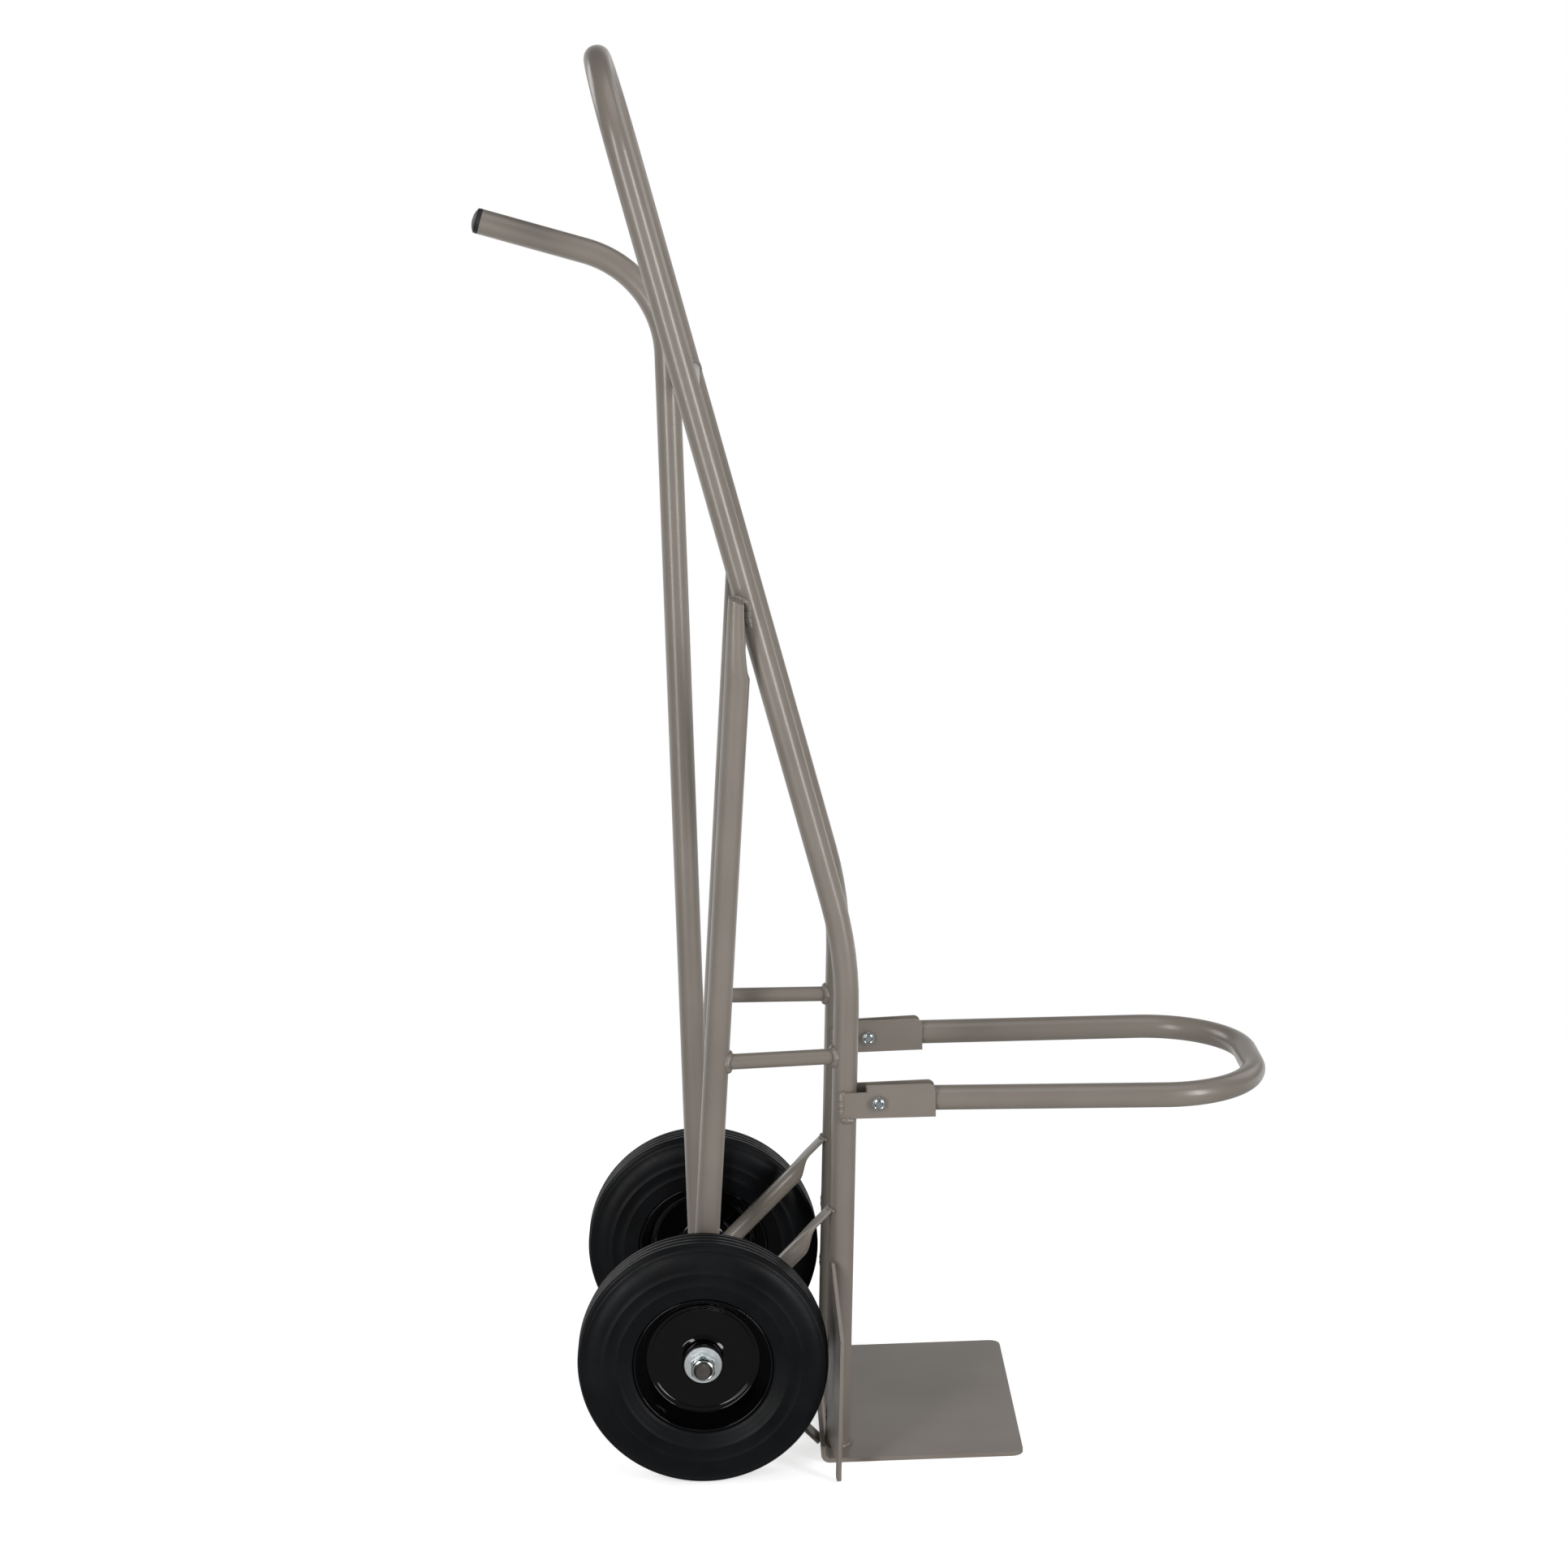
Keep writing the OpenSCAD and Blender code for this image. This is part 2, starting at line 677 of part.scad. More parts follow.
// Lock nuts on the right ends of the two bolts, each with a round collar
module pivot_nuts() {
    color(zinc) placed() for (side = [left, right])
        translate([pivot_x, side * pivot_y - bolt_face, pivot_height]) rotate([90, 0, 0]) difference() {
            union() {
                hexagon(bolt_head_flats, bolt_nut_height);
                cylinder(r = bolt_collar_radius, h = bolt_nut_height + bolt_collar_height);
            }
            translate([0, 0, -past])
                cylinder(r = bolt_radius, h = bolt_nut_height + bolt_collar_height + 2 * past);
        }
}

// Moves a wheel part, drawn about Z with its outer side up, to one end of the axle
module on_axle(side) {
    placed() on_side(side) translate([0, -wheel_y, axle_height]) rotate([90, 0, 0]) children();
}

// Rim barrel's outer surface, from the lip down to the well
module barrel_line_space() {
    polygon([
        [0, -rim_lip_half], [rim_lip_radius, -rim_lip_half], [rim_well_radius + rim_sheet, -rim_sheet],
        [rim_well_radius + rim_sheet, rim_sheet], [rim_lip_radius, rim_lip_half], [0, rim_lip_half]
    ]);
    for (end = [-1, 1])
        translate([rim_lip_radius - rim_bead, end * rim_lip_half]) circle(r = rim_bead);
}

// Hollow rubber tyre with round shoulders, fine tread grooves and beads on the rim
module tyre(side) {
    flank = wheel_radius - shoulder_radius;
    bead = 9.5;
    cavity_side = 10;
    cavity_tread = 13;
    cavity_floor = rim_lip_radius + 6;
    color(rubber) on_axle(side) rotate_extrude() difference() {
        union() {
            translate([rim_lip_radius - 10, -rim_lip_half]) square([past + 10, 2 * rim_lip_half]);
            polygon([
                [rim_lip_radius, -rim_lip_half - 1], [rim_lip_radius + 8, 3 - tyre_half],
                [rim_lip_radius + 18, -tyre_half], [flank, -tyre_half], [flank, tyre_half],
                [rim_lip_radius + 18, tyre_half], [rim_lip_radius + 8, tyre_half - 3],
                [rim_lip_radius, rim_lip_half + 1]
            ]);
            translate([flank, shoulder_radius - tyre_half])
                square([shoulder_radius, tyre_width - 2 * shoulder_radius]);
            for (end = [-1, 1])
                translate([flank, end * (tyre_half - shoulder_radius)]) circle(r = shoulder_radius);
        }
        barrel_line_space();
        translate([cavity_floor, cavity_side - tyre_half])
            square([wheel_radius - cavity_tread - cavity_floor, tyre_width - 2 * cavity_side]);
        translate([0, bead - rim_lip_half]) square([cavity_floor + past, 2 * (rim_lip_half - bead)]);
        for (place = groove_places, end = [-1, 1])
            translate([wheel_radius - groove_depth, end * place - groove_width / 2])
                square([groove_depth + past, groove_width]);
    }
}

// One pressed rim half: rolled lip, sloping barrel and flat disc
module rim_half() {
    rotate_extrude() polygon([
        [rim_lip_radius - rim_bead - rim_sheet / 2, rim_lip_half],
        [rim_lip_radius - rim_bead + rim_sheet / 2, rim_lip_half],
        [rim_well_radius + rim_sheet, rim_sheet], [rim_well_radius + rim_sheet, 0],
        [hub_radius, 0], [hub_radius, rim_sheet], [rim_well_radius, rim_sheet]
    ]);
    translate([0, 0, rim_lip_half]) rotate_extrude()
        translate([rim_lip_radius - rim_bead, 0]) circle(r = rim_bead);
}

module rim_outer(side) {
    color(gloss_black) on_axle(side) rim_half();
}

module rim_inner(side) {
    color(gloss_black) on_axle(side) mirror([0, 0, 1]) rim_half();
}

// Hub tube through both rim discs
module hub(side) {
    color(gloss_black) on_axle(side) translate([0, 0, -hub_half])
        tube(hub_diameter, hub_wall, 2 * hub_half);
}

// Two shielded bearings in the ends of the hub tube
module bearings(side) {
    race = hub_radius - hub_wall;
    color(zinc) on_axle(side) for (end = [0, 1])
        mirror([0, 0, end]) translate([0, 0, hub_half - bearing_width]) difference() {
            cylinder(r = race, h = bearing_width);
            translate([0, 0, -past]) cylinder(r = axle_radius + bearing_fit, h = bearing_width + 2 * past);
            translate([0, 0, bearing_width - shield_depth]) difference() {
                cylinder(r = race - shield_band, h = past);
                translate([0, 0, -past]) cylinder(r = axle_radius + shield_band, h = 3 * past);
            }
        }
}

main_hoop();
upper_crossbar();
pull_tube();
handle_plug();
rear_brace(left);  // rear_brace_left
rear_brace(right);  // rear_brace_right
spacer(left);  // spacer_left
spacer(right);  // spacer_right
upper_strut(left);  // upper_strut_left
upper_strut(right);  // upper_strut_right
lower_strut(left);  // lower_strut_left
lower_strut(right);  // lower_strut_right
axle_tube();
axle_rod();
axle_washers();
axle_nuts();
toe_plate();
wing(left);  // wing_left
wing(right);  // wing_right
bracket(left);  // bracket_left
bracket(right);  // bracket_right
swing_arm();
pivot_bolts();
pivot_nuts();
tyre(left);  // tyre_left
rim_outer(left);  // rim_outer_left
rim_inner(left);  // rim_inner_left
hub(left);  // hub_left
bearings(left);  // bearings_left
tyre(right);  // tyre_right
rim_outer(right);  // rim_outer_right
rim_inner(right);  // rim_inner_right
hub(right);  // hub_right
bearings(right);  // bearings_right
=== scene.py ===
# Chair dolly: a welded tube frame on two wheels with a toe plate, a fold-up arm and a pull tube.
import math

import bmesh
import bpy
from mathutils import Matrix, Vector


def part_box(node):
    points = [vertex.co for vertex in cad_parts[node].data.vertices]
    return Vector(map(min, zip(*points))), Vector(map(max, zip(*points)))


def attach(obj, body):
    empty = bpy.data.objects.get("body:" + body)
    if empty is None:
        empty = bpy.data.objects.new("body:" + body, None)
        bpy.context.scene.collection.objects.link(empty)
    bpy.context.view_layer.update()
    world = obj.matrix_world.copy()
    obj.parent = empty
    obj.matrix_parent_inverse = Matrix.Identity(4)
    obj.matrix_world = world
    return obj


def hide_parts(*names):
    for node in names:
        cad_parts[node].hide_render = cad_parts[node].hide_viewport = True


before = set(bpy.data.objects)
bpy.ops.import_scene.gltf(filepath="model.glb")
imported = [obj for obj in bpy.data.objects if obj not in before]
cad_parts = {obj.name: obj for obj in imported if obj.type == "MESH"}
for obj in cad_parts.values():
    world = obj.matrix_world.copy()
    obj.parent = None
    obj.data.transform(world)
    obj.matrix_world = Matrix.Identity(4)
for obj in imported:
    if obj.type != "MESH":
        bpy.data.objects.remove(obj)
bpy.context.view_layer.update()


# Main hoop
# One 25.4 mm steel tube makes both uprights and the top loop. It is bent cold, so the bends run
# smoothly into the straights, and its two feet are cut flat where they stand on the toe plate.
def linear(hex_colour):
    """Turns an sRGB hex colour into linear RGBA."""
    channels = [int(hex_colour[i:i + 2], 16) / 255 for i in (1, 3, 5)]
    return [c / 12.92 if c <= 0.04045 else ((c + 0.055) / 1.055) ** 2.4 for c in channels] + [1]


def add_node(material, kind, inputs=None, **settings):
    """Adds one node, sets it up, and links or fills its inputs."""
    node = material.node_tree.nodes.new(kind)
    for name, value in settings.items():
        setattr(node, name, value)
    for name, value in (inputs or {}).items():
        if isinstance(value, bpy.types.NodeSocket):
            material.node_tree.links.new(value, node.inputs[name])
        else:
            node.inputs[name].default_value = value
    return node


def new_material(name):
    """Starts a material with nothing in its node tree."""
    material = bpy.data.materials.new(name)
    material.use_nodes = True
    material.node_tree.nodes.clear()
    return material


def finish_material(material, shader):
    add_node(material, "ShaderNodeOutputMaterial", {"Surface": shader.outputs[0]})
    return material


def mottled(material, place, size_mm, low, high, detail=2.0):
    """A soft noise with patches of the given size, spread between two values."""
    noise = add_node(material, "ShaderNodeTexNoise",
                     {"Vector": place, "Scale": 1000 / size_mm, "Detail": detail})
    spread = add_node(material, "ShaderNodeMapRange",
                      {"Value": noise.outputs["Fac"], "From Min": 0.3, "From Max": 0.7,
                       "To Min": low, "To Max": high})
    return spread.outputs[0]


def powder_coat():
    """Satin powder coat in a warm grey: baked powder leaves a soft orange peel and long, gentle
    highlights. The peel of a real coat is about 1.5 mm, drawn at 4 mm so that it shows."""
    material = new_material("powder_coat_warm_grey")
    place = add_node(material, "ShaderNodeTexCoord").outputs["Object"]
    tone = add_node(material, "ShaderNodeMix", {
        "Factor": mottled(material, place, 90, 0, 1),
        "A": linear("#7c746c"), "B": linear("#857d75")}, data_type="RGBA")
    peel = mottled(material, place, 4, 0, 1, detail=1.0)
    grit = mottled(material, place, 0.9, 0, 1, detail=3.0)
    relief = add_node(material, "ShaderNodeMath", {0: peel, 1: grit}, operation="ADD")
    bump = add_node(material, "ShaderNodeBump",
                    {"Strength": 0.025, "Distance": 0.0003, "Height": relief.outputs[0]})
    shader = add_node(material, "ShaderNodeBsdfPrincipled", {
        "Base Color": tone.outputs["Result"], "Roughness": mottled(material, place, 25, 0.28, 0.31),
        "Specular IOR Level": 0.65, "Normal": bump.outputs[0]})
    return finish_material(material, shader)


SHARP_ANGLE = 35


def skin(name, rings, loop=False, caps=False, sharp=SHARP_ANGLE):
    """Makes a mesh object from rings of points, joined in order."""
    mesh = bmesh.new()
    columns = [[mesh.verts.new(point) for point in ring] for ring in rings]
    pairs = list(zip(columns, columns[1:])) + ([(columns[-1], columns[0])] if loop else [])
    for first, second in pairs:
        for i in range(len(first)):
            j = (i + 1) % len(first)
            mesh.faces.new((first[i], first[j], second[j], second[i]))
    if caps:
        mesh.faces.new(columns[0])
        mesh.faces.new(columns[-1])
    return finish_mesh(name, mesh, sharp)


def finish_mesh(name, mesh, sharp=SHARP_ANGLE):
    """Turns the built mesh into a smooth object with its sharp edges kept."""
    bmesh.ops.recalc_face_normals(mesh, faces=mesh.faces)
    data = bpy.data.meshes.new(name)
    mesh.to_mesh(data)
    mesh.free()
    data.shade_smooth()
    data.set_sharp_from_angle(angle=math.radians(sharp))
    piece = bpy.data.objects.new(name, data)
    bpy.context.scene.collection.objects.link(piece)
    return piece


def dress(piece, material, body, slot, *nodes):
    """Gives a piece its finish and body, and lets it stand for CAD nodes."""
    piece.data.materials.append(material)
    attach(piece, body)
    if nodes:
        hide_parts(*nodes)
    return piece


def middle(node):
    low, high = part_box(node)
    return (Vector(low) + Vector(high)) / 2


MM = 0.001
TUBE_WALL = 1.8
AXLE = middle("axle_rod")


def spot(x, y, z):
    """A point given in millimetres from the axle's middle along X and Y, and from the floor."""
    return Vector((AXLE.x + x * MM, y * MM, z * MM))


def bent_path(start, steps, ring_angle=3.0):
    """Frames along a tube: each step is a straight length, then a bend's radius, angle and direction.
    A bend has a ring about every ring_angle degrees."""
    frames = []
    place = start.copy()
    rolled = 0.0
    for length, radius, angle, roll in steps:
        frames.append(place @ Matrix.Rotation(-rolled, 4, "Z"))
        place = place @ Matrix.Translation((0, 0, length * MM))
        frames.append(place @ Matrix.Rotation(-rolled, 4, "Z"))
        if not radius:
            continue
        rolled += math.radians(roll)
        place = place @ Matrix.Rotation(math.radians(roll), 4, "Z")
        count = max(4, round(angle / ring_angle))
        pivot = Matrix.Translation((radius * MM, 0, 0))
        for i in range(1, count):
            bend = pivot @ Matrix.Rotation(math.radians(angle * i / count), 4, "Y") @ pivot.inverted()
            frames.append(place @ bend @ Matrix.Rotation(-rolled, 4, "Z"))
        place = place @ pivot @ Matrix.Rotation(math.radians(angle), 4, "Y") @ pivot.inverted()
    return frames


def oval(depth, width, sides=40):
    """Outline of a round or flattened tube, thin along X, as points in millimetres."""
    points = []
    for i in range(sides):
        angle = 2 * math.pi * (i + 0.5) / sides
        side = 1 if math.sin(angle) > 0 else -1
        points.append((depth / 2 * math.cos(angle),
                       depth / 2 * math.sin(angle) + side * (width - depth) / 2))
    return points


def round_tube(name, frames, diameter, wall=TUBE_WALL):
    """A round tube along frames: its outer skin first and then its bore."""
    def ring(place, across):
        return [place @ Vector((x * MM, y * MM, 0)) for x, y in oval(across, across)]
    outer = [ring(place, diameter) for place in frames]
    bore = [ring(place, diameter - 2 * wall) for place in frames]
    return skin(name, outer + bore[::-1], loop=True)


def pressed(name, frames, sections, shifts):
    """A closed tube that is pressed out of round: each section has its own depth, width and shift."""
    rings = []
    for place, (depth, width), shift in zip(frames, sections, shifts):
        rings.append([place @ Vector(((x + shift) * MM, y * MM, 0)) for x, y in oval(depth, width)])
    return skin(name, rings, caps=True)


def cut_flat(piece, point, normal):
    """Cuts a piece with a plane, removes what lies beyond it and closes the cut."""
    mesh = bmesh.new()
    mesh.from_mesh(piece.data)
    everything = mesh.verts[:] + mesh.edges[:] + mesh.faces[:]
    cut = bmesh.ops.bisect_plane(mesh, geom=everything, plane_co=point, plane_no=normal, clear_outer=True)
    edges = [item for item in cut["geom_cut"] if isinstance(item, bmesh.types.BMEdge)]
    bmesh.ops.triangle_fill(mesh, edges=edges, use_beauty=True)
    bmesh.ops.recalc_face_normals(mesh, faces=mesh.faces)
    mesh.to_mesh(piece.data)
    mesh.free()
    piece.data.set_sharp_from_angle(angle=math.radians(SHARP_ANGLE))


paint = powder_coat()
TUBE = 25.4
UPRIGHT_Y = 117.0
FOOT_X = 134.7
LOWER_LEAN = 2.7
UPPER_LEAN = 13.8
BEND_HEIGHT = 529.0
BEND_RADIUS = 390.0
LOOP_RADIUS = 101.6
HOOP_TOP = 1432 - TUBE / 2
TOE_THICKNESS = 4.8
bend_x = FOOT_X + math.tan(math.radians(LOWER_LEAN)) * BEND_HEIGHT
bend_angle = LOWER_LEAN + UPPER_LEAN
bend_tangent = BEND_RADIUS * math.tan(math.radians(bend_angle / 2))
lower_length = BEND_HEIGHT / math.cos(math.radians(LOWER_LEAN)) - bend_tangent
upper_length = ((HOOP_TOP - BEND_HEIGHT) / math.cos(math.radians(UPPER_LEAN))
                - bend_tangent - LOOP_RADIUS)
upright_foot = (Matrix.Translation(spot(FOOT_X, -UPRIGHT_Y, 0))
                @ Matrix.Rotation(math.radians(LOWER_LEAN), 4, "Y"))
hoop_path = bent_path(upright_foot, [
    (lower_length, BEND_RADIUS, bend_angle, 180), (upper_length, LOOP_RADIUS, 90, -90),
    (2 * (UPRIGHT_Y - LOOP_RADIUS), LOOP_RADIUS, 90, 0), (upper_length, BEND_RADIUS, bend_angle, 90),
    (lower_length, 0, 0, 0)])
hoop = round_tube("hoop_tube", hoop_path, TUBE)
cut_flat(hoop, spot(0, 0, TOE_THICKNESS), (0, 0, -1))
dress(hoop, paint, "frame", "paint", "main_hoop")


def lower_x(z):
    """The uprights' middle line below their bend, from the axle along X."""
    return FOOT_X + math.tan(math.radians(LOWER_LEAN)) * z


def upper_x(z):
    """The same line above the bend."""
    return bend_x - math.tan(math.radians(UPPER_LEAN)) * (z - BEND_HEIGHT)


# Upper crossbar
# A thinner tube between the uprights, saddled to their round sides and welded all round. The
# welds are short beads of melted wire, painted over with the frame, so they look like soft lumps.
def line_frame(start, end):
    """A frame at one point that looks along +Z to another, with its X in the dolly's side plane."""
    along = (end - start).normalized()
    across = Vector((0, 1, 0)) if abs(along.y) < 0.9 else Vector((0, 0, 1))
    x = across.cross(along).normalized()
    y = along.cross(x)
    return Matrix.Translation(start) @ Matrix((x, y, along)).transposed().to_4x4()


def straight(start, end):
    """Two frames, one at each end of a straight tube."""
    place = line_frame(start, end)
    return [place, place @ Matrix.Translation((0, 0, (end - start).length))]


def seam(place, radius, other, along, other_radius, count=40):
    """The line where a round bar along a frame's +Z first meets a round tube."""
    direction = place.to_3x3() @ Vector((0, 0, 1))
    points = []
    for i in range(count):
        angle = 2 * math.pi * i / count
        start = place @ Vector((radius * MM * math.cos(angle), radius * MM * math.sin(angle), 0))
        gap = (start - other).cross(along)
        step = direction.cross(along)
        a = step.dot(step)
        b = 2 * gap.dot(step)
        c = gap.dot(gap) - (other_radius * MM) ** 2
        inside = max(b * b - 4 * a * c, 0)
        points.append(start + direction * ((-b - math.sqrt(inside)) / (2 * a)))
    return points


def bead(name, points, size, closed=True, sides=10):
    """A weld bead along a line: a lumpy round string with a ripple every 3 mm. The size is its
    radius, and an open bead thins out at both ends."""
    rings = []
    travelled = 0.0
    last = len(points) - 1
    for i, point in enumerate(points):
        before = points[i - 1] if closed or i else points[0]
        after = points[(i + 1) % len(points)] if closed or i < last else points[last]
        along = (after - before).normalized()
        place = line_frame(point, point + along)
        travelled += (point - before).length / MM
        ripple = 0.13 * math.sin(travelled * 2 * math.pi / 3)
        lump = 0.1 * math.sin(travelled * 0.9 + size)
        swell = 1 + ripple + lump
        if not closed:
            swell *= 0.45 + 0.55 * math.sin(math.pi * (i + 0.6) / (last + 1.2)) ** 0.5
        rings.append([place @ Vector((size * swell * MM * math.cos(2 * math.pi * k / sides),
                                      size * swell * MM * math.sin(2 * math.pi * k / sides), 0))
                      for k in range(sides)])
    return dress(skin(name, rings, loop=closed, caps=not closed, sharp=80), paint, "frame", "paint")


def dense(points, step=1.0):
    """Puts more points on a line so that a weld's ripple shows."""
    line = []
    for first, second in zip(points, points[1:]):
        count = max(1, round((second - first).length / (step * MM)))
        line += [first.lerp(second, i / count) for i in range(count)]
    return line + [points[-1]]


def around(points):
    """The same for a line that closes on itself."""
    return dense(points + points[:1], 1.2)[:-1]


CROSSBAR = 19.0
CROSSBAR_INSET = 7
PULL_X = -1.1
SIDES = ((1, "left"), (-1, "right"))
crossbar_height = 1100.0
crossbar_x = PULL_X + TUBE / 2 + CROSSBAR / 2
upper_along = Vector((-math.sin(math.radians(UPPER_LEAN)), 0, math.cos(math.radians(UPPER_LEAN))))
lower_along = Vector((math.sin(math.radians(LOWER_LEAN)), 0, math.cos(math.radians(LOWER_LEAN))))
half_bar = UPRIGHT_Y - CROSSBAR_INSET
bar_ends = [spot(crossbar_x, y, crossbar_height) for y in (-half_bar, half_bar)]
dress(round_tube("crossbar_tube", straight(*bar_ends), CROSSBAR), paint, "frame", "paint",
      "upper_crossbar")
for side, word in SIDES:
    start = spot(crossbar_x, 0, crossbar_height)
    line = seam(line_frame(start, start + Vector((0, side, 0))), CROSSBAR / 2,
                spot(upper_x(crossbar_height), side * UPRIGHT_Y, crossbar_height), upper_along, TUBE / 2)
    bead(f"crossbar_weld_{word}", around(line), size=2.4)


# Pull tube
# The same 25.4 mm tube, standing on the axle tube in the middle of the dolly. It leans on the
# crossbar, is welded to it, and then bends back into the grip that the user pulls.
AXLE_HEIGHT = 127.0
PULL_FOOT = 8
PULL_BEND_HEIGHT = 1126
PULL_BEND_RADIUS = 110.5
PULL_BEND_ANGLE = 72.7
GRIP_LENGTH = 107.7
pull_path = bent_path(Matrix.Translation(spot(PULL_X, 0, AXLE_HEIGHT + PULL_FOOT)), [
    (PULL_BEND_HEIGHT - AXLE_HEIGHT - PULL_FOOT, PULL_BEND_RADIUS, PULL_BEND_ANGLE, 180),
    (GRIP_LENGTH, 0, 0, 0)])
dress(round_tube("pull_tube_bent", pull_path, TUBE), paint, "frame", "paint", "pull_tube")
across_y = Vector((0, 1, 0))
foot_line = seam(line_frame(spot(PULL_X, 0, 300), spot(PULL_X, 0, 200)), TUBE / 2,
                 spot(0, 0, AXLE_HEIGHT), across_y, TUBE / 2)
bead("pull_tube_foot_weld", around(foot_line), size=3.0)
for side, word in SIDES[::-1]:
    corner = [spot(PULL_X + 11.5, side * 6.5, crossbar_height + dz) for dz in (-7, -3.5, 0, 3.5, 7)]
    bead(f"pull_tube_crossbar_weld_{word}", dense(corner), size=2.6, closed=False)


# Handle plug
# A black polyethylene plug, pressed into the grip's open end: a thin collar as wide as the tube
# and a low dome. Moulded with a fine matt grain.
def uneven_surface(name, tones, patch, grain, relief, depth, roughness, patch_detail=2.0,
                   grain_detail=2.0, **finish):
    """A material with two tones in patches, a fine relief of the given depth in metres, and a
    roughness given as a patch size and its two ends. Sizes are in millimetres."""
    material = new_material(name)
    place = add_node(material, "ShaderNodeTexCoord").outputs["Object"]
    tone = add_node(material, "ShaderNodeMix", {
        "Factor": mottled(material, place, patch, 0, 1, patch_detail),
        "A": linear(tones[0]), "B": linear(tones[1])}, data_type="RGBA")
    height = mottled(material, place, grain, 0, 1, grain_detail)
    bump = add_node(material, "ShaderNodeBump", {"Strength": relief, "Distance": depth, "Height": height})
    shader = add_node(material, "ShaderNodeBsdfPrincipled", {
        "Base Color": tone.outputs["Result"], "Roughness": mottled(material, place, *roughness),
        "Normal": bump.outputs[0], **finish})
    return finish_material(material, shader)


def moulded_plastic():
    """Black polyethylene with a fine matt grain; the grain is drawn at 0.8 mm so that it shows."""
    return uneven_surface("moulded_black_polyethylene", ("#17181a", "#1e1f21"), patch=12, grain=0.8,
                          relief=0.25, depth=0.0002, roughness=(6, 0.45, 0.58))


def turned(name, place, profile, sides=96, loop=False, sharp=30):
    """A turned piece from (radius, height) points in millimetres about a frame's +Z."""
    rings = [[place @ Vector((r * MM * math.cos(2 * math.pi * k / sides),
                              r * MM * math.sin(2 * math.pi * k / sides), h * MM))
              for k in range(sides)] for r, h in profile]
    return skin(name, rings, loop=loop, caps=not loop, sharp=sharp)


PLUG_LENGTH = 8.5
DOME_HEIGHT = 4.0
DOME_STEPS = 14
dome_base = PLUG_LENGTH - DOME_HEIGHT
dome_radius = ((TUBE / 2) ** 2 + DOME_HEIGHT ** 2) / (2 * DOME_HEIGHT)
dome_heights = [DOME_HEIGHT * i / DOME_STEPS for i in range(1, DOME_STEPS)]
dome = [(math.sqrt(dome_radius ** 2 - (dome_radius - DOME_HEIGHT + h) ** 2), dome_base + h)
        for h in dome_heights]
# The peg inside the tube, the collar, and the groove under the dome
plug_profile = [(10.8, -14), (10.8, 0), (12.2, 0), (12.7, 0.5), (12.7, 3.4), (12.3, 3.7), (12.3, 4.0),
                (12.6, 4.2), (12.6, dome_base)]
plug = turned("grip_plug", pull_path[-1], plug_profile + dome + [(0.4, PLUG_LENGTH)], sides=64)
dress(plug, moulded_plastic(), "frame", "plastic", "handle_plug")


# Axle tube
# A plain tube across the dolly that the braces, struts and pull tube are welded to. It is hidden
# behind the near wheel in the photograph, so its length simply reaches the inner washers.
INNER_WASHER_Y = 152.8
AXLE_RADIUS = 7.95
AXLE_PLAY = 0.1
ends = [spot(0, y, AXLE_HEIGHT) for y in (-INNER_WASHER_Y, INNER_WASHER_Y)]
axle_tube_wall = TUBE / 2 - AXLE_RADIUS - AXLE_PLAY
dress(round_tube("axle_tube_pipe", straight(*ends), TUBE, axle_tube_wall), paint, "frame", "paint",
      "axle_tube")


# Rear braces
# Round tubes from the axle tube to the outer rear of each upright. The top is pressed to an oval
# so that it lies against the upright, cut at a slope and welded over.
def mirrored(point, side):
    """A point of the right-hand side, or the same point on the left."""
    return Vector((point.x, -point.y if side > 0 else point.y, point.z))


BRACE_TOP = 895.0
BRACE_DEPTH = 15.6
BRACE_WIDTH = 31
BRACE_TAPER = 76
BRACE_STEPS = 15
BRACE_SHIFT = -4.9
BRACE_BITE = 1.3
BRACE_SLOPE = math.radians(25)
brace_foot = spot(-1.5, -114.5, AXLE_HEIGHT)
brace_top = spot(upper_x(BRACE_TOP) - 5.6,
                 -(UPRIGHT_Y + TUBE / 2 + BRACE_WIDTH / 2 - BRACE_BITE), BRACE_TOP)
# The line of the top weld on the right-hand side, over the cut end and down beside the upright
brace_weld_line = ((57, -131, 899), (61, -130.5, 897.5), (65, -130, 895.6), (69.5, -131, 892.5),
                   (71.5, -132, 887), (71, -131.5, 878), (73, -131, 868))
for side, word in SIDES:
    low, high = mirrored(brace_foot, side), mirrored(brace_top, side)
    start = line_frame(low, high)
    length = (high - low).length / MM
    taper_from = length - BRACE_TAPER
    places = [8, taper_from] + [taper_from + BRACE_TAPER * i / BRACE_STEPS
                                for i in range(1, BRACE_STEPS + 1)] + [length + 6]
    shares = [0, 0] + [(i / BRACE_STEPS) ** 0.55 for i in range(1, BRACE_STEPS + 1)] + [1]
    sections = [(TUBE + (BRACE_DEPTH - TUBE) * t, TUBE + (BRACE_WIDTH - TUBE) * t) for t in shares]
    brace = pressed(f"brace_tube_{word}", [start @ Matrix.Translation((0, 0, d * MM)) for d in places],
                    sections, [BRACE_SHIFT * t for t in shares])
    cut_flat(brace, high, (math.sin(BRACE_SLOPE), 0, math.cos(BRACE_SLOPE)))
    dress(brace, paint, "frame", "paint", f"rear_brace_{word}")
    down = seam(line_frame(low.lerp(high, 0.15), low), TUBE / 2,
                spot(0, 0, AXLE_HEIGHT), across_y, TUBE / 2)
    bead(f"brace_foot_weld_{word}", around(down), size=3.0)
    top_line = [mirrored(spot(x, y, z), side) for x, y, z in brace_weld_line]
    bead(f"brace_top_weld_{word}", dense(top_line), size=3.4, closed=False)


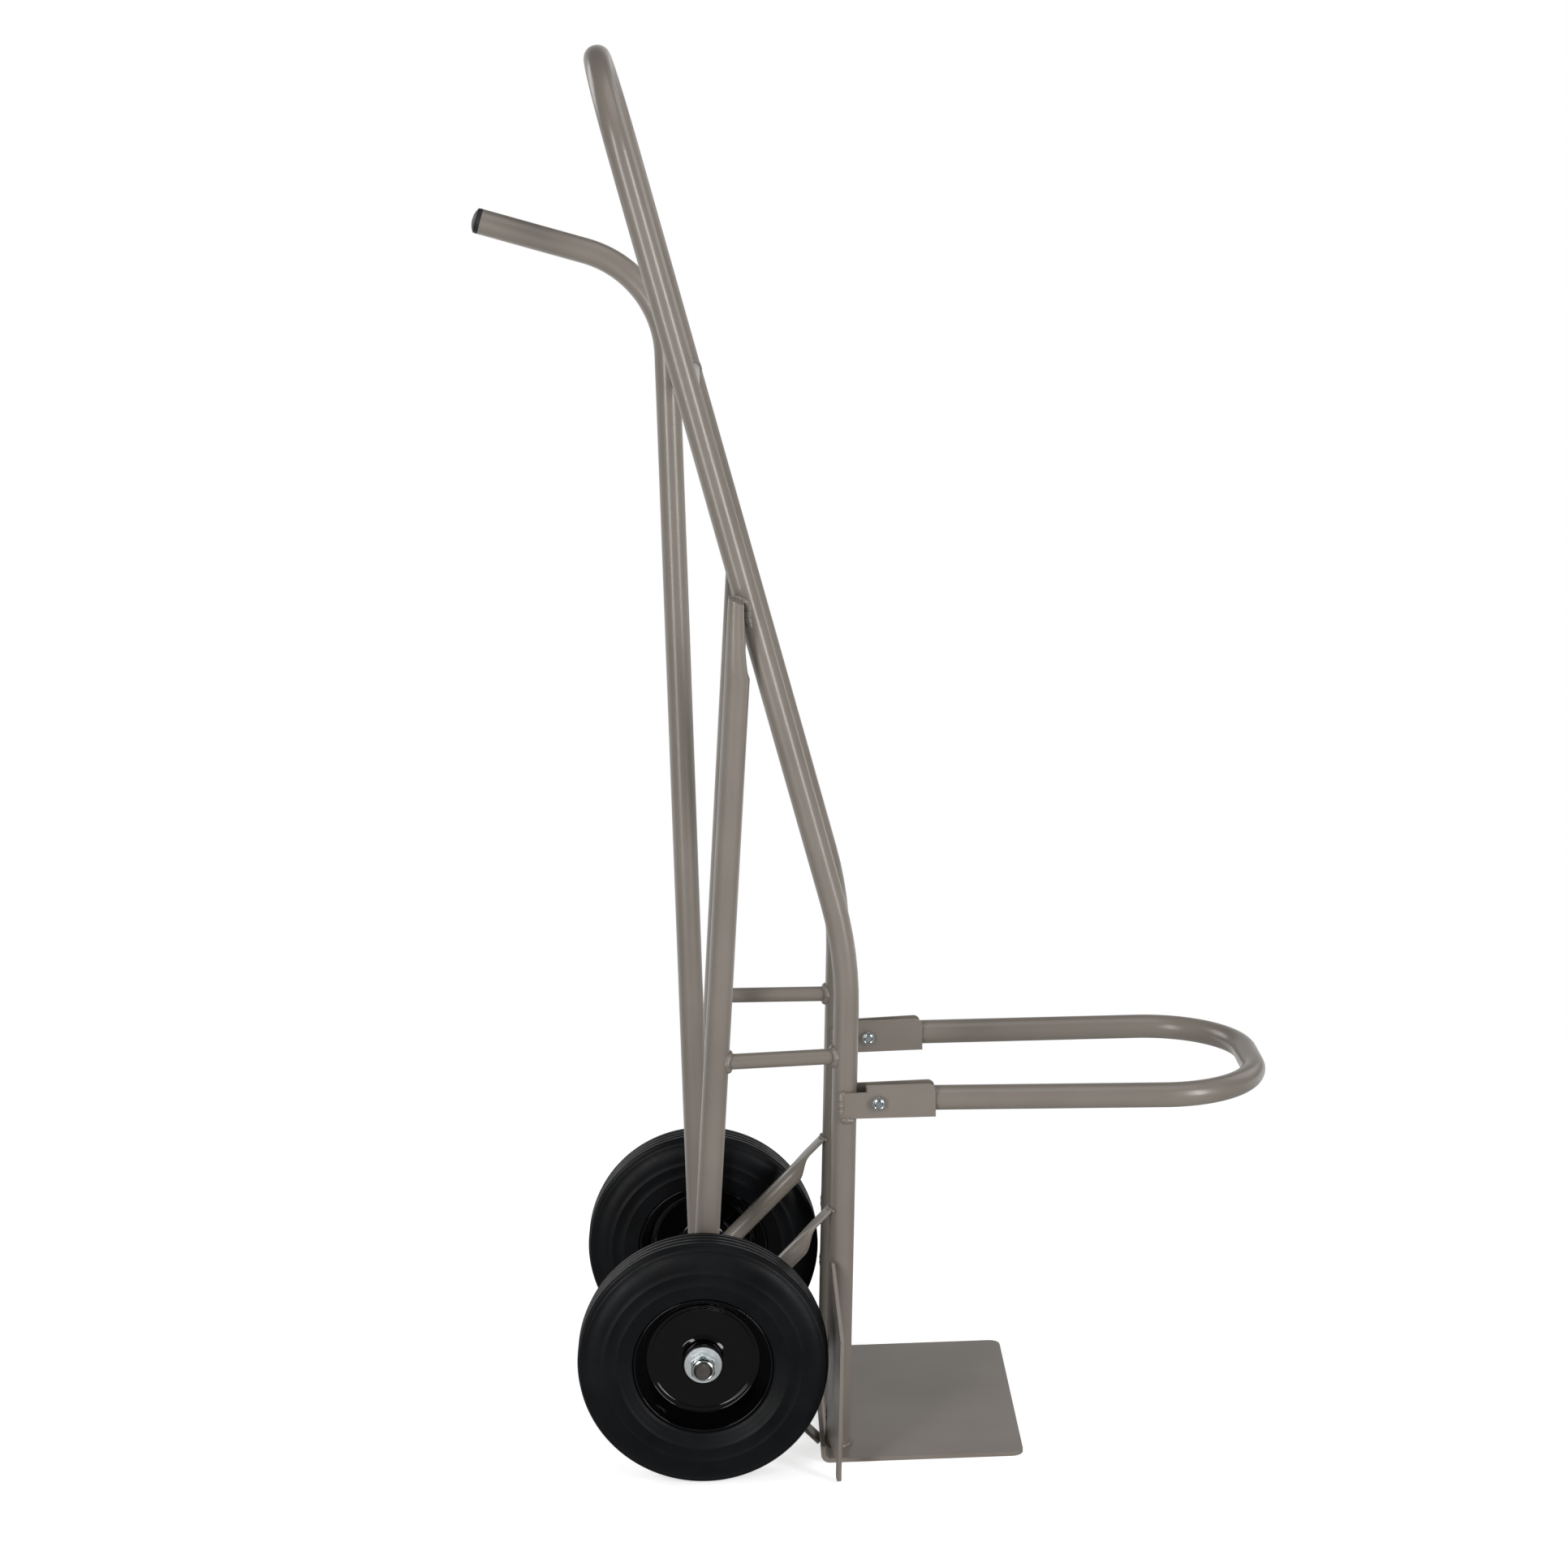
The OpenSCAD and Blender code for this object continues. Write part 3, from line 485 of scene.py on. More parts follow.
# Spacer tubes
# A short thin tube on each side keeps the brace and the upright apart, welded at both ends.
SPACER = 15.9
SPACER_INSET = 9
spacer_height = 422.8
brace_share = (spacer_height - AXLE_HEIGHT) / (BRACE_TOP - AXLE_HEIGHT)
for side, word in SIDES:
    rear = mirrored(brace_foot.lerp(brace_top, brace_share), side)
    front = spot(lower_x(spacer_height), side * UPRIGHT_Y, spacer_height)
    inset = SPACER_INSET * MM / (front - rear).length
    dress(round_tube(f"spacer_pipe_{word}",
                     straight(rear.lerp(front, inset), front.lerp(rear, inset)), SPACER),
          paint, "frame", "paint", f"spacer_{word}")
    centre = rear.lerp(front, 0.5)
    brace_along = (mirrored(brace_top, side) - mirrored(brace_foot, side)).normalized()
    for end, other, along in (("rear", rear, brace_along), ("front", front, lower_along)):
        line = seam(line_frame(centre, other), SPACER / 2, other, along, TUBE / 2)
        bead(f"spacer_weld_{end}_{word}", around(line), size=3.7)


# Struts
# Four thinner tubes brace the axle tube against the uprights. Each one's free end is pressed flat
# against the back of its upright: the upper ones at wheel height, the lower ones at its foot.
STRUT = 19.0
STRUT_FLAT = 3.8
STRUT_STEPS = 10
STRUT_REACH = 8
STRUT_FORWARD = 4
STRUT_DROP = 3.8
STRUT_BITE = 1.5


def eased(t):
    """Runs from 0 to 1 with a slow start and a slow end."""
    return t * t * (3 - 2 * t)


def strut(name, ends, flat, taper, width, shift, node):
    """A tube that is round at its first end and pressed flat, to one side, at its second."""
    start = line_frame(*ends)
    length = (ends[1] - ends[0]).length / MM
    taper_from = length - flat - taper
    steps = range(1, STRUT_STEPS + 1)
    places = [0, taper_from] + [taper_from + taper * i / STRUT_STEPS for i in steps] + [length]
    shares = [0, 0] + [eased(i / STRUT_STEPS) for i in steps] + [1]
    sections = [(STRUT + (STRUT_FLAT - STRUT) * t, STRUT + (width - STRUT) * t) for t in shares]
    piece = pressed(name, [start @ Matrix.Translation((0, 0, d * MM)) for d in places], sections,
                    [shift * t for t in shares])
    return dress(piece, paint, "frame", "paint", node)


upper_strut_height = 259.0
upper_top_x = lower_x(upper_strut_height) - TUBE / 2
lower_foot_x = FOOT_X - TUBE / 2
# Across the flat end: forward from the upright's rear line, and sideways
upper_weld_line = ((4.2, -12.5), (0.8, -8), (-0.8, -3), (-0.8, 3), (0.8, 8), (4.2, 12.5))
for side, word in SIDES:
    y = side * UPRIGHT_Y
    upper_ends = (spot(STRUT_REACH + STRUT_FORWARD, y, AXLE_HEIGHT + STRUT_REACH - STRUT_DROP),
                  spot(upper_top_x + STRUT_BITE + STRUT_FORWARD, y,
                       upper_strut_height + STRUT_BITE - STRUT_DROP))
    strut(f"upper_strut_tube_{word}", upper_ends, flat=23, taper=32, width=23, shift=-6.5,
          node=f"upper_strut_{word}")
    top_line = [spot(upper_top_x + dx, y + dy, upper_strut_height + 2.6) for dx, dy in upper_weld_line]
    bead(f"upper_strut_weld_{word}", dense(top_line), size=2.6, closed=False)
    lower_ends = (spot(STRUT_REACH, y, AXLE_HEIGHT + 13.4 - STRUT_REACH), spot(lower_foot_x - 2, y, 15))
    lower = strut(f"lower_strut_tube_{word}", lower_ends, flat=16, taper=24, width=28, shift=6,
                  node=f"lower_strut_{word}")
    cut_flat(lower, spot(lower_foot_x - 4.6, 0, 0), (1, 0, 0))
    cut_flat(lower, spot(0, 0, 1), (0, 0, -1))


# Toe plate
# A 4.8 mm steel plate that slides under the chairs. Its rear edge is folded up behind the uprights'
# feet, its front corners are rounded, and its sheared edges are lightly dressed.
CORNER_STEPS = 10
PLATE_SHARP = 20


def plate(name, outline, place, thickness, edge, rounded=()):
    """A flat plate from an outline in its own plane, with some corners rounded and its edges eased."""
    mesh = bmesh.new()
    low = [mesh.verts.new(place @ Vector((x * MM, y * MM, 0))) for x, y in outline]
    high = [mesh.verts.new(place @ Vector((x * MM, y * MM, thickness * MM))) for x, y in outline]
    mesh.faces.new(low)
    mesh.faces.new(high)
    for i in range(len(outline)):
        j = (i + 1) % len(outline)
        mesh.faces.new((low[i], low[j], high[j], high[i]))
    for corner, radius in rounded:
        edges = [e for e in low[corner].link_edges if e.other_vert(low[corner]) is high[corner]]
        bmesh.ops.bevel(mesh, geom=edges, offset=radius * MM, segments=CORNER_STEPS, profile=0.5,
                        affect="EDGES")
    return soften(finish_mesh(name, mesh, PLATE_SHARP), edge)


def soften(piece, edge):
    """Eases every sharp edge by a small bevel."""
    bevel = piece.modifiers.new("eased_edges", "BEVEL")
    bevel.width = edge * MM
    bevel.segments = 2
    bevel.limit_method = "ANGLE"
    bevel.angle_limit = math.radians(40)
    bevel.harden_normals = True
    return piece


TOE_WIDTH = 315.0
TOE_REACH = 190.9
TOE_CORNER = 12
TOE_EDGE = 0.6
HEEL_BEND = 9.0
HEEL_HEIGHT = 18.0
NEARLY = 1e-6
heel_x = (FOOT_X - TUBE / 2 / math.cos(math.radians(LOWER_LEAN)) - 0.2
          + math.tan(math.radians(LOWER_LEAN)) * TOE_THICKNESS - TOE_THICKNESS)
toe_front = FOOT_X + TOE_REACH
fold = [math.radians(d) for d in range(180, 271, 10)]
side_outline = [(heel_x, HEEL_HEIGHT)]
side_outline += [(heel_x + HEEL_BEND + HEEL_BEND * math.cos(a), HEEL_BEND + HEEL_BEND * math.sin(a))
                 for a in fold]
side_outline += [(toe_front, 0), (toe_front, TOE_THICKNESS)]
inner_bend = HEEL_BEND - TOE_THICKNESS
side_outline += [(heel_x + HEEL_BEND + inner_bend * math.cos(a), HEEL_BEND + inner_bend * math.sin(a))
                 for a in fold[::-1]]
side_outline += [(heel_x + TOE_THICKNESS, HEEL_HEIGHT)]
toe_mesh = bmesh.new()
near, distant = ([toe_mesh.verts.new(spot(x, y, z)) for x, z in side_outline]
                 for y in (-TOE_WIDTH / 2, TOE_WIDTH / 2))
toe_mesh.faces.new(near)
toe_mesh.faces.new(distant)
for i in range(len(side_outline)):
    j = (i + 1) % len(side_outline)
    toe_mesh.faces.new((near[i], near[j], distant[j], distant[i]))
front_x = spot(toe_front, 0, 0).x
corner_edges = [edge for edge in toe_mesh.edges
                if all(abs(vert.co.x - front_x) < NEARLY for vert in edge.verts)
                and abs(edge.verts[0].co.y - edge.verts[1].co.y) < NEARLY]
bmesh.ops.bevel(toe_mesh, geom=corner_edges, offset=TOE_CORNER * MM, segments=CORNER_STEPS, profile=0.5,
                affect="EDGES")
toe = soften(finish_mesh("toe_plate_sheet", toe_mesh, PLATE_SHARP), TOE_EDGE)
dress(toe, paint, "frame", "paint", "toe_plate")
FOOT_WELD_RADIUS = 13.2
foot_arc = [math.radians(d) for d in range(-118, 119, 6)]
for side, word in SIDES:
    ring = [spot(lower_x(5) + FOOT_WELD_RADIUS * math.cos(a),
                 side * UPRIGHT_Y + FOOT_WELD_RADIUS * math.sin(a), TOE_THICKNESS + 0.8) for a in foot_arc]
    bead(f"upright_foot_weld_{word}", dense(ring, 1.2), size=2.6, closed=False)


# Wing plates
# Flat 4 mm plates on the outer side of each upright that keep the load off the wheels. Each one is
# level with the upright's rear, turns a little forward, slopes down and ends on a narrow foot.
WING_TURN = math.radians(5.8)
WING_THICKNESS = 4
wing_place = upright_foot @ Matrix.Rotation(WING_TURN, 4, "Z")
# Sideways from the upright's middle, where outward is negative, and up along it
wing_outline = [(-8.6, 19.5), (-8.6, 208), (-18.7, 208), (-95, 152), (-95, 1.5), (-81, 1.5), (-81, 19.5)]
for side, word in SIDES:
    flip = Matrix.Scale(-1, 4, (0, 1, 0)) if side > 0 else Matrix.Identity(4)
    lay = (flip @ wing_place @ Matrix.Translation((-TUBE / 2 * MM, 0, 0))
           @ Matrix(((0, 0, 1, 0), (1, 0, 0, 0), (0, 1, 0, 0), (0, 0, 0, 1))))
    wing = plate(f"wing_sheet_{word}", wing_outline, lay, WING_THICKNESS, 0.5,
                 rounded=((4, 5), (5, 5), (1, 1.5)))
    dress(wing, paint, "frame", "paint", f"wing_{word}")
    for number, low_z in enumerate((30, 108, 176)):
        stitch = [flip @ wing_place @ Vector((-11.6 * MM, -7.4 * MM, z * MM))
                  for z in range(low_z, low_z + 21, 2)]
        bead(f"wing_weld_{word}_{number}", dense(stitch), size=2.3, closed=False)


# Arm brackets
# Each is a channel folded from 2.5 mm plate, open at the top, that hugs its upright and holds one
# end of the arm. The two are alike, not mirrored, and welded to the uprights at their rear edges.
PIVOT_HEIGHT = 377.0
PIVOT_SETOUT = 34.1
ARM_SPLAY = math.radians(1.43)
ARM_DROOP = math.radians(1.02)
ARM_TAIL = 12.0
PLATE = 2.5
PLATE_EDGE = 0.35
BRACKET_FRONT = 58.0
BRACKET_LAP = 3.4
SIDE_GAP = 0.65
bracket_rear = PIVOT_SETOUT + BRACKET_LAP
inner_half = TUBE / 2 + SIDE_GAP
outer_half = inner_half + PLATE
web_half = outer_half - 0.3
web_top = TUBE / 2 / math.cos(ARM_DROOP) + BRACKET_FRONT * math.tan(ARM_DROOP) + 0.35
bracket_bottom = web_top + PLATE
# The web starts in front of the arm's tail, which swings down past it as the arm folds up
web_rear = math.hypot(ARM_TAIL, TUBE / 2) * 0.72 + 1
# The two cheeks, from the pivot: forward along the arm and up
near_outline = [(-bracket_rear, -bracket_bottom), (-bracket_rear, 10.5), (-10.6, 10.5), (-10.6, 18),
                (BRACKET_FRONT, 18), (BRACKET_FRONT, -bracket_bottom)]
far_outline = [(-bracket_rear, -bracket_bottom), (-bracket_rear, 12), (BRACKET_FRONT, 13.8),
               (BRACKET_FRONT, -bracket_bottom)]
upright_lay = Matrix(((1, 0, 0, 0), (0, 0, -1, 0), (0, 1, 0, 0), (0, 0, 0, 1)))
for side, word in SIDES:
    seat = (Matrix.Translation(spot(lower_x(PIVOT_HEIGHT), side * UPRIGHT_Y, PIVOT_HEIGHT))
            @ Matrix.Rotation(side * ARM_SPLAY, 4, "Z") @ Matrix.Translation((PIVOT_SETOUT * MM, 0, 0)))
    cheeks = [plate(f"bracket_cheek_{label}_{word}", outline,
                    seat @ Matrix.Translation((0, y * MM, 0)) @ upright_lay, PLATE, PLATE_EDGE,
                    rounded=corners)
              for label, outline, y, corners in (
                  ("near", near_outline, -inner_half, ((4, 7), (1, 3))),
                  ("far", far_outline, outer_half, ((2, 7), (1, 3))))]
    web = plate(f"bracket_web_{word}",
                [(web_rear, -web_half), (BRACKET_FRONT, -web_half),
                 (BRACKET_FRONT, web_half), (web_rear, web_half)],
                seat @ Matrix.Translation((0, 0, -bracket_bottom * MM)), PLATE, PLATE_EDGE)
    dress(web, paint, "frame", "paint", f"bracket_{word}")
    for cheek in cheeks:
        dress(cheek, paint, "frame", "paint", f"bracket_{word}")
    for label, sign in (("near", -1), ("far", 1)):
        line = [seat @ Vector(((-bracket_rear - 0.2) * MM, sign * (inner_half + 1.3) * MM, z * MM))
                for z in range(-15, 10, 3)]
        if label == "near":
            line += [seat @ Vector(((-bracket_rear + dx) * MM, sign * (inner_half + 0.6) * MM, 9.6 * MM))
                     for dx in (2, 5)]
        bead(f"bracket_weld_{label}_{word}", dense(line), size=3.2, closed=False)
    blob = [seat @ Vector(((-bracket_rear + dx) * MM, -(inner_half + 1.3) * MM, (-17.5 - dx * 0.1) * MM))
            for dx in (0, 3, 7, 12)]
    bead(f"bracket_lower_weld_{word}", dense(blob), size=3.7, closed=False)


# Swing arm
# The U-shaped arm that the chairs' legs rest against, bent from the same 25.4 mm tube. Its two ends
# hinge in the brackets, and at rest it lies on the brackets' webs.
ARM_REACH = 408.3
ARM_BEND = 101.6
pivot_x = lower_x(PIVOT_HEIGHT) + PIVOT_SETOUT
pivot_y = UPRIGHT_Y + PIVOT_SETOUT * math.tan(ARM_SPLAY)
arm_line = (ARM_REACH - TUBE / 2) / math.cos(ARM_DROOP) - ARM_BEND * (1 + math.sin(ARM_SPLAY))
arm_length = arm_line / math.cos(ARM_SPLAY) + ARM_TAIL
arm_between = 2 * (pivot_y + arm_line * math.tan(ARM_SPLAY) - ARM_BEND * math.cos(ARM_SPLAY))
arm_start = (Matrix.Translation(spot(pivot_x, 0, PIVOT_HEIGHT)) @ Matrix.Rotation(ARM_DROOP, 4, "Y")
             @ Matrix.Translation((-ARM_TAIL * math.cos(ARM_SPLAY) * MM,
                                   (ARM_TAIL * math.sin(ARM_SPLAY) - pivot_y) * MM, 0))
             @ Matrix.Rotation(-ARM_SPLAY, 4, "Z") @ Matrix.Rotation(math.pi / 2, 4, "Y"))
arm_turn = 90 + math.degrees(ARM_SPLAY)
arm_path = bent_path(arm_start, [(arm_length, ARM_BEND, arm_turn, 90),
                                 (arm_between, ARM_BEND, arm_turn, 0), (arm_length, 0, 0, 0)])
dress(round_tube("arm_tube", arm_path, TUBE), paint, "swing_arm", "paint", "swing_arm")


# Pivot bolts and nuts
# Bright zinc-plated M8 bolts through each bracket and the arm, with their heads towards the left. A
# lock nut with a round nylon collar holds each one, and the threaded end stands just proud of it.
def zinc_plate(name, tones, smooth, dull):
    """Bright zinc plate over steel: pale, slightly blue, with fine uneven patches of dulling. Turned
    nuts and bolts are smoother than punched washers. The patches are drawn at 2 mm."""
    return uneven_surface(name, tones, patch=2, patch_detail=4.0, grain=1, relief=0.06, depth=0.0001,
                          roughness=(4, smooth, dull), Metallic=1.0)


def hexagonal(name, place, flats, height, bore=0.0, crown=1.0):
    """A hex head or nut on a round seat, with its corners turned off at both faces."""
    face = math.radians(60)
    corner = flats / 2 / math.cos(face / 2)
    sides = 72

    def ring(h, radius=None, limit=math.inf):
        """Points at one height: round where a radius is given, otherwise hexagonal up to a limit."""
        points = []
        for k in range(sides):
            angle = 2 * math.pi * k / sides
            off_middle = (angle + face / 2) % face - face / 2
            reach = radius or min(flats / 2 / math.cos(off_middle), limit)
            points.append(place @ Vector((reach * MM * math.cos(angle), reach * MM * math.sin(angle),
                                          h * MM)))
        return points
    seat = flats * 0.46
    seat_height = 0.6
    slope = crown * 0.6
    rings = [ring(0, radius=seat), ring(seat_height, radius=seat), ring(seat_height, limit=corner - crown),
             ring(seat_height + slope), ring(height - slope), ring(height, limit=corner - crown)]
    if bore:
        rings += [ring(height, radius=bore + 0.5), ring(height - 0.5, radius=bore), ring(0, radius=bore)]
    else:
        rings += [ring(height, radius=flats * 0.3), ring(height - 0.35, radius=flats * 0.28)]
    return skin(name, rings, loop=bool(bore), caps=not bore, sharp=25)


def threads(radius, low, high, pitch, depth):
    """Profile points of a threaded length, as close rings."""
    points = []
    h = low
    while h + pitch <= high:
        points += [(radius - depth, h), (radius, h + pitch * 0.5)]
        h += pitch
    return points + [(radius - depth, h)]


zinc = zinc_plate("zinc_plated_turned_steel", ("#cdd3d4", "#dbe0e1"), 0.16, 0.24)
BOLT = 8.0
BOLT_FLATS = 13.0
BOLT_PITCH = 1.25
THREAD_DEPTH = 0.5
NUT_HEIGHT = 5.3
NUT_COLLAR = 2.4
THREAD_OVER = 1.5
bolt_face = outer_half + 0.25
bolt_end = bolt_face + NUT_HEIGHT + NUT_COLLAR + THREAD_OVER
bolt_collar = [(4.05, 5.0), (5.75, 5.0), (5.75, 6.6), (5.4, 7.3), (4.7, 7.7), (4.05, 7.4)]
for side, word in SIDES:
    nut_side = (Matrix.Translation(spot(pivot_x, side * pivot_y, PIVOT_HEIGHT))
                @ Matrix.Rotation(math.pi / 2, 4, "X"))
    shank_profile = [(0.3, -bolt_face - 1), (BOLT / 2, -bolt_face - 1), (BOLT / 2, bolt_face)]
    shank_profile += threads(BOLT / 2, bolt_face + 0.2, bolt_end - 0.6, BOLT_PITCH, THREAD_DEPTH)
    shank_profile += [(BOLT / 2 - 0.8, bolt_end), (0.3, bolt_end)]
    bolt = turned(f"bolt_shank_{word}", nut_side, shank_profile, sides=48)
    dress(bolt, zinc, "frame", "zinc", "pivot_bolts")
    head_place = nut_side @ Matrix.Translation((0, 0, -bolt_face * MM)) @ Matrix.Rotation(math.pi, 4, "X")
    dress(hexagonal(f"bolt_head_{word}", head_place, BOLT_FLATS, NUT_HEIGHT), zinc, "frame", "zinc",
          "pivot_bolts")
    nut_place = nut_side @ Matrix.Translation((0, 0, bolt_face * MM))
    nut = hexagonal(f"bolt_nut_{word}", nut_place, BOLT_FLATS, NUT_HEIGHT, bore=BOLT / 2)
    dress(nut, zinc, "frame", "zinc", "pivot_nuts")
    dress(turned(f"bolt_nut_collar_{word}", nut_place, bolt_collar, sides=48, loop=True), zinc, "frame",
          "zinc", "pivot_nuts")


# Hubs and bearings
# A short steel tube through each rim, enamelled with it, with a shielded bearing pressed into
# each end.
def gloss_enamel():
    """Black gloss enamel baked on pressed steel: nearly black, sharp reflections, slight waviness
    drawn at 18 mm."""
    return uneven_surface("baked_black_enamel", ("#040404", "#070707"), patch=30, grain=18, relief=0.08,
                          depth=0.0006, roughness=(20, 0.05, 0.09), **{"Specular IOR Level": 0.3})


enamel = gloss_enamel()
WHEEL_Y = 175.0
HUB_RADIUS = 21.25
HUB_BORE = 17.5
HUB_HALF = 19.7
hub_profile = [(HUB_BORE, -HUB_HALF), (HUB_RADIUS - 0.6, -HUB_HALF), (HUB_RADIUS, -HUB_HALF + 0.6),
               (HUB_RADIUS, HUB_HALF - 0.6), (HUB_RADIUS - 0.6, HUB_HALF), (HUB_BORE, HUB_HALF)]
# Inner race, recessed shield and outer race
bearing_profile = [(AXLE_RADIUS + 0.06, 8.7), (AXLE_RADIUS + 0.06, 19.3), (AXLE_RADIUS + 0.5, HUB_HALF),
                   (10.1, HUB_HALF), (10.3, 19.0), (15.0, 19.0), (15.3, HUB_HALF), (17.0, HUB_HALF),
                   (HUB_BORE, 19.3), (HUB_BORE, 8.7)]
FACES = (("outer", 0), ("inner", math.pi))
wheel_frames = {}
for side, word in SIDES:
    out = (Matrix.Translation(spot(0, side * WHEEL_Y, AXLE_HEIGHT))
           @ Matrix.Rotation(-side * math.pi / 2, 4, "X"))
    wheel_frames[word] = out
    body = f"wheel_{word}"
    dress(turned(f"hub_pipe_{word}", out, hub_profile, loop=True), enamel, body, "gloss_black",
          f"hub_{word}")
    for label, turn in FACES:
        bearing = turned(f"bearing_{label}_{word}", out @ Matrix.Rotation(turn, 4, "X"),
                         bearing_profile, loop=True)
        dress(bearing, zinc, body, "zinc", f"bearings_{word}")


# Rims
# Two steel pressings back to back make each rim: a rolled lip that holds the tyre, a sloping wall,
# a small step and a flat disc, all in baked black enamel.
def smooth_profile(points, radius, steps=4):
    """Rounds the corners of an open outline."""
    out = [Vector(points[0])]
    for before, corner, after in zip(points, points[1:], points[2:]):
        before, corner, after = Vector(before), Vector(corner), Vector(after)
        reach = min(radius, (before - corner).length * 0.45, (after - corner).length * 0.45)
        first = corner + (before - corner).normalized() * reach
        last = corner + (after - corner).normalized() * reach
        for i in range(steps + 1):
            t = i / steps
            out.append(first * (1 - t) ** 2 + corner * 2 * t * (1 - t) + last * t * t)
    return [tuple(p) for p in out + [Vector(points[-1])]]


# The section of one pressing, out along its face and back: radius and distance from the middle
rim_outline = [(21.3, 0.1), (58.8, 0.1), (59.0, 2.0), (70.3, 22.4), (70.9, 23.6), (70.2, 25.0),
               (68.7, 25.0), (67.9, 23.6), (67.4, 22.0), (58.2, 4.6), (56.8, 3.2), (53.6, 2.9),
               (52.2, 1.9), (30, 1.9), (24.5, 2.4), (21.3, 4.2)]
rim_profile = smooth_profile(rim_outline, 1.3)
for word, out in wheel_frames.items():
    for label, turn in FACES:
        rim = turned(f"rim_pressing_{label}_{word}", out @ Matrix.Rotation(turn, 4, "X"),
                     rim_profile, sides=144, loop=True, sharp=50)
        dress(rim, enamel, f"wheel_{word}", "gloss_black", f"rim_{label}_{word}")


# Tyres
# Ribbed rubber tyres: a tread with seven running grooves, soft shoulders, a full side wall with two
# faint moulded rings, and a bead that grips the rim's lip.
def tyre_rubber():
    """Black moulded rubber: dull, a little blue where the light grazes it, with a fine leathery
    skin drawn at 1.5 mm and faint dusty patches."""
    return uneven_surface("moulded_tyre_rubber", ("#0a0b0d", "#111316"), patch=45, patch_detail=3.0,
                          grain=1.5, grain_detail=3.0, relief=0.2, depth=0.0003,
                          roughness=(30, 0.36, 0.48), **{"Specular IOR Level": 0.14})


rubber = tyre_rubber()
# Half of the section from the bead to the middle groove: radius and distance from the middle
half = [(65.2, 12), (70.4, 22.2), (71.2, 23.6), (71.3, 25.1), (72.5, 26.2), (76, 27.0), (79, 28.2)]
half += [(82, 29.3), (85.2, 30.2), (86.2, 30.9), (87.6, 30.9), (88.6, 30.4), (94, 30.6), (98.6, 30.5)]
half += [(99.4, 30.95), (100.8, 30.95), (101.6, 30.4), (106, 30.3), (110, 29.8), (114, 28.9), (117.5, 27.6)]
half += [(120.2, 26.0), (121.4, 25.1), (121.2, 23.8), (123.7, 23.0), (124.9, 21.6), (125.9, 19.4)]
half += [(126.3, 18.7), (124.7, 17), (126.7, 15.3), (127, 13), (127, 10.2), (125.3, 8.5), (127, 6.8)]
half += [(127, 1.7), (125.3, 0.02)]
inner = [(72, -11), (78, -20), (112, -20), (114, -17), (114, 17), (112, 20), (78, 20), (72, 11)]
tyre_profile = half + [(r, -h) for r, h in half[::-1]] + inner
for word, out in wheel_frames.items():
    tyre = turned(f"tyre_ring_{word}", out, tyre_profile, sides=192, loop=True, sharp=50)
    dress(tyre, rubber, f"wheel_{word}", "rubber", f"tyre_{word}")


# Axle rod, washers and lock nuts
# A bright steel rod through both hubs. A wide zinc washer covers each bearing on both sides, and a
# lock nut with a round collar holds each wheel on the threaded end.
def bare_steel():
    """Cut steel bar that has gone dull: brownish grey, with a soft turned grain drawn at 1.2 mm."""
    return uneven_surface("dull_cut_steel", ("#6e6965", "#7b7672"), patch=5, patch_detail=3.0, grain=1.2,
                          relief=0.2, depth=0.0001, roughness=(4, 0.38, 0.5), Metallic=1.0)


HALF_AXLE = 217.5
AXLE_PITCH = 1.8
AXLE_THREAD_DEPTH = 0.7
WASHER = 2.2
AXLE_NUT_FLATS = 23.8
AXLE_NUT_HEIGHT = 10
outer_washer = WHEEL_Y + HUB_HALF + 0.3
nut_base = outer_washer + WASHER
across_frame = Matrix.Translation(spot(0, 0, AXLE_HEIGHT)) @ Matrix.Rotation(-math.pi / 2, 4, "X")
rod_end = threads(AXLE_RADIUS, nut_base, HALF_AXLE - 1.6, AXLE_PITCH, AXLE_THREAD_DEPTH)
rod_end += [(AXLE_RADIUS - 0.3, HALF_AXLE - 0.8), (AXLE_RADIUS - 1.0, HALF_AXLE), (0.4, HALF_AXLE)]
rod_middle = [(AXLE_RADIUS, 1 - nut_base), (AXLE_RADIUS, nut_base - 1)]
rod_profile = [(r, -h) for r, h in rod_end[::-1]] + rod_middle + rod_end
rod = turned("axle_bar", across_frame, rod_profile, sides=64)
dress(rod, bare_steel(), "frame", "zinc", "axle_rod")
washer_zinc = zinc_plate("zinc_plated_punched_steel", ("#dde3e3", "#e9edee"), 0.52, 0.6)
washer_profile = [(8.0, 0.2), (8.2, 0), (18.6, 0), (19, 0.4), (19, WASHER - 0.4), (18.6, WASHER),
                  (8.2, WASHER), (8.0, WASHER - 0.2)]
collar_profile = [(8.0, 9.6), (11.4, 9.6), (11.4, 14.0), (10.9, 15.2), (9.7, 15.9), (8.9, 15.6),
                  (8.5, 14.6), (8.0, 14.2)]
for side, word in SIDES:
    out = Matrix.Translation(spot(0, 0, AXLE_HEIGHT)) @ Matrix.Rotation(-side * math.pi / 2, 4, "X")
    for label, height in (("inner", INNER_WASHER_Y), ("outer", outer_washer)):
        washer = turned(f"washer_{label}_{word}", out @ Matrix.Translation((0, 0, height * MM)),
                        washer_profile, loop=True)
        dress(washer, washer_zinc, "frame", "zinc", "axle_washers")
    base = out @ Matrix.Translation((0, 0, nut_base * MM))
    nut = hexagonal(f"axle_nut_{word}", base, AXLE_NUT_FLATS, AXLE_NUT_HEIGHT, bore=AXLE_RADIUS, crown=1.6)
    dress(nut, zinc, "frame", "zinc", "axle_nuts")
    dress(turned(f"axle_nut_collar_{word}", base, collar_profile, sides=64, loop=True), zinc, "frame",
          "zinc", "axle_nuts")


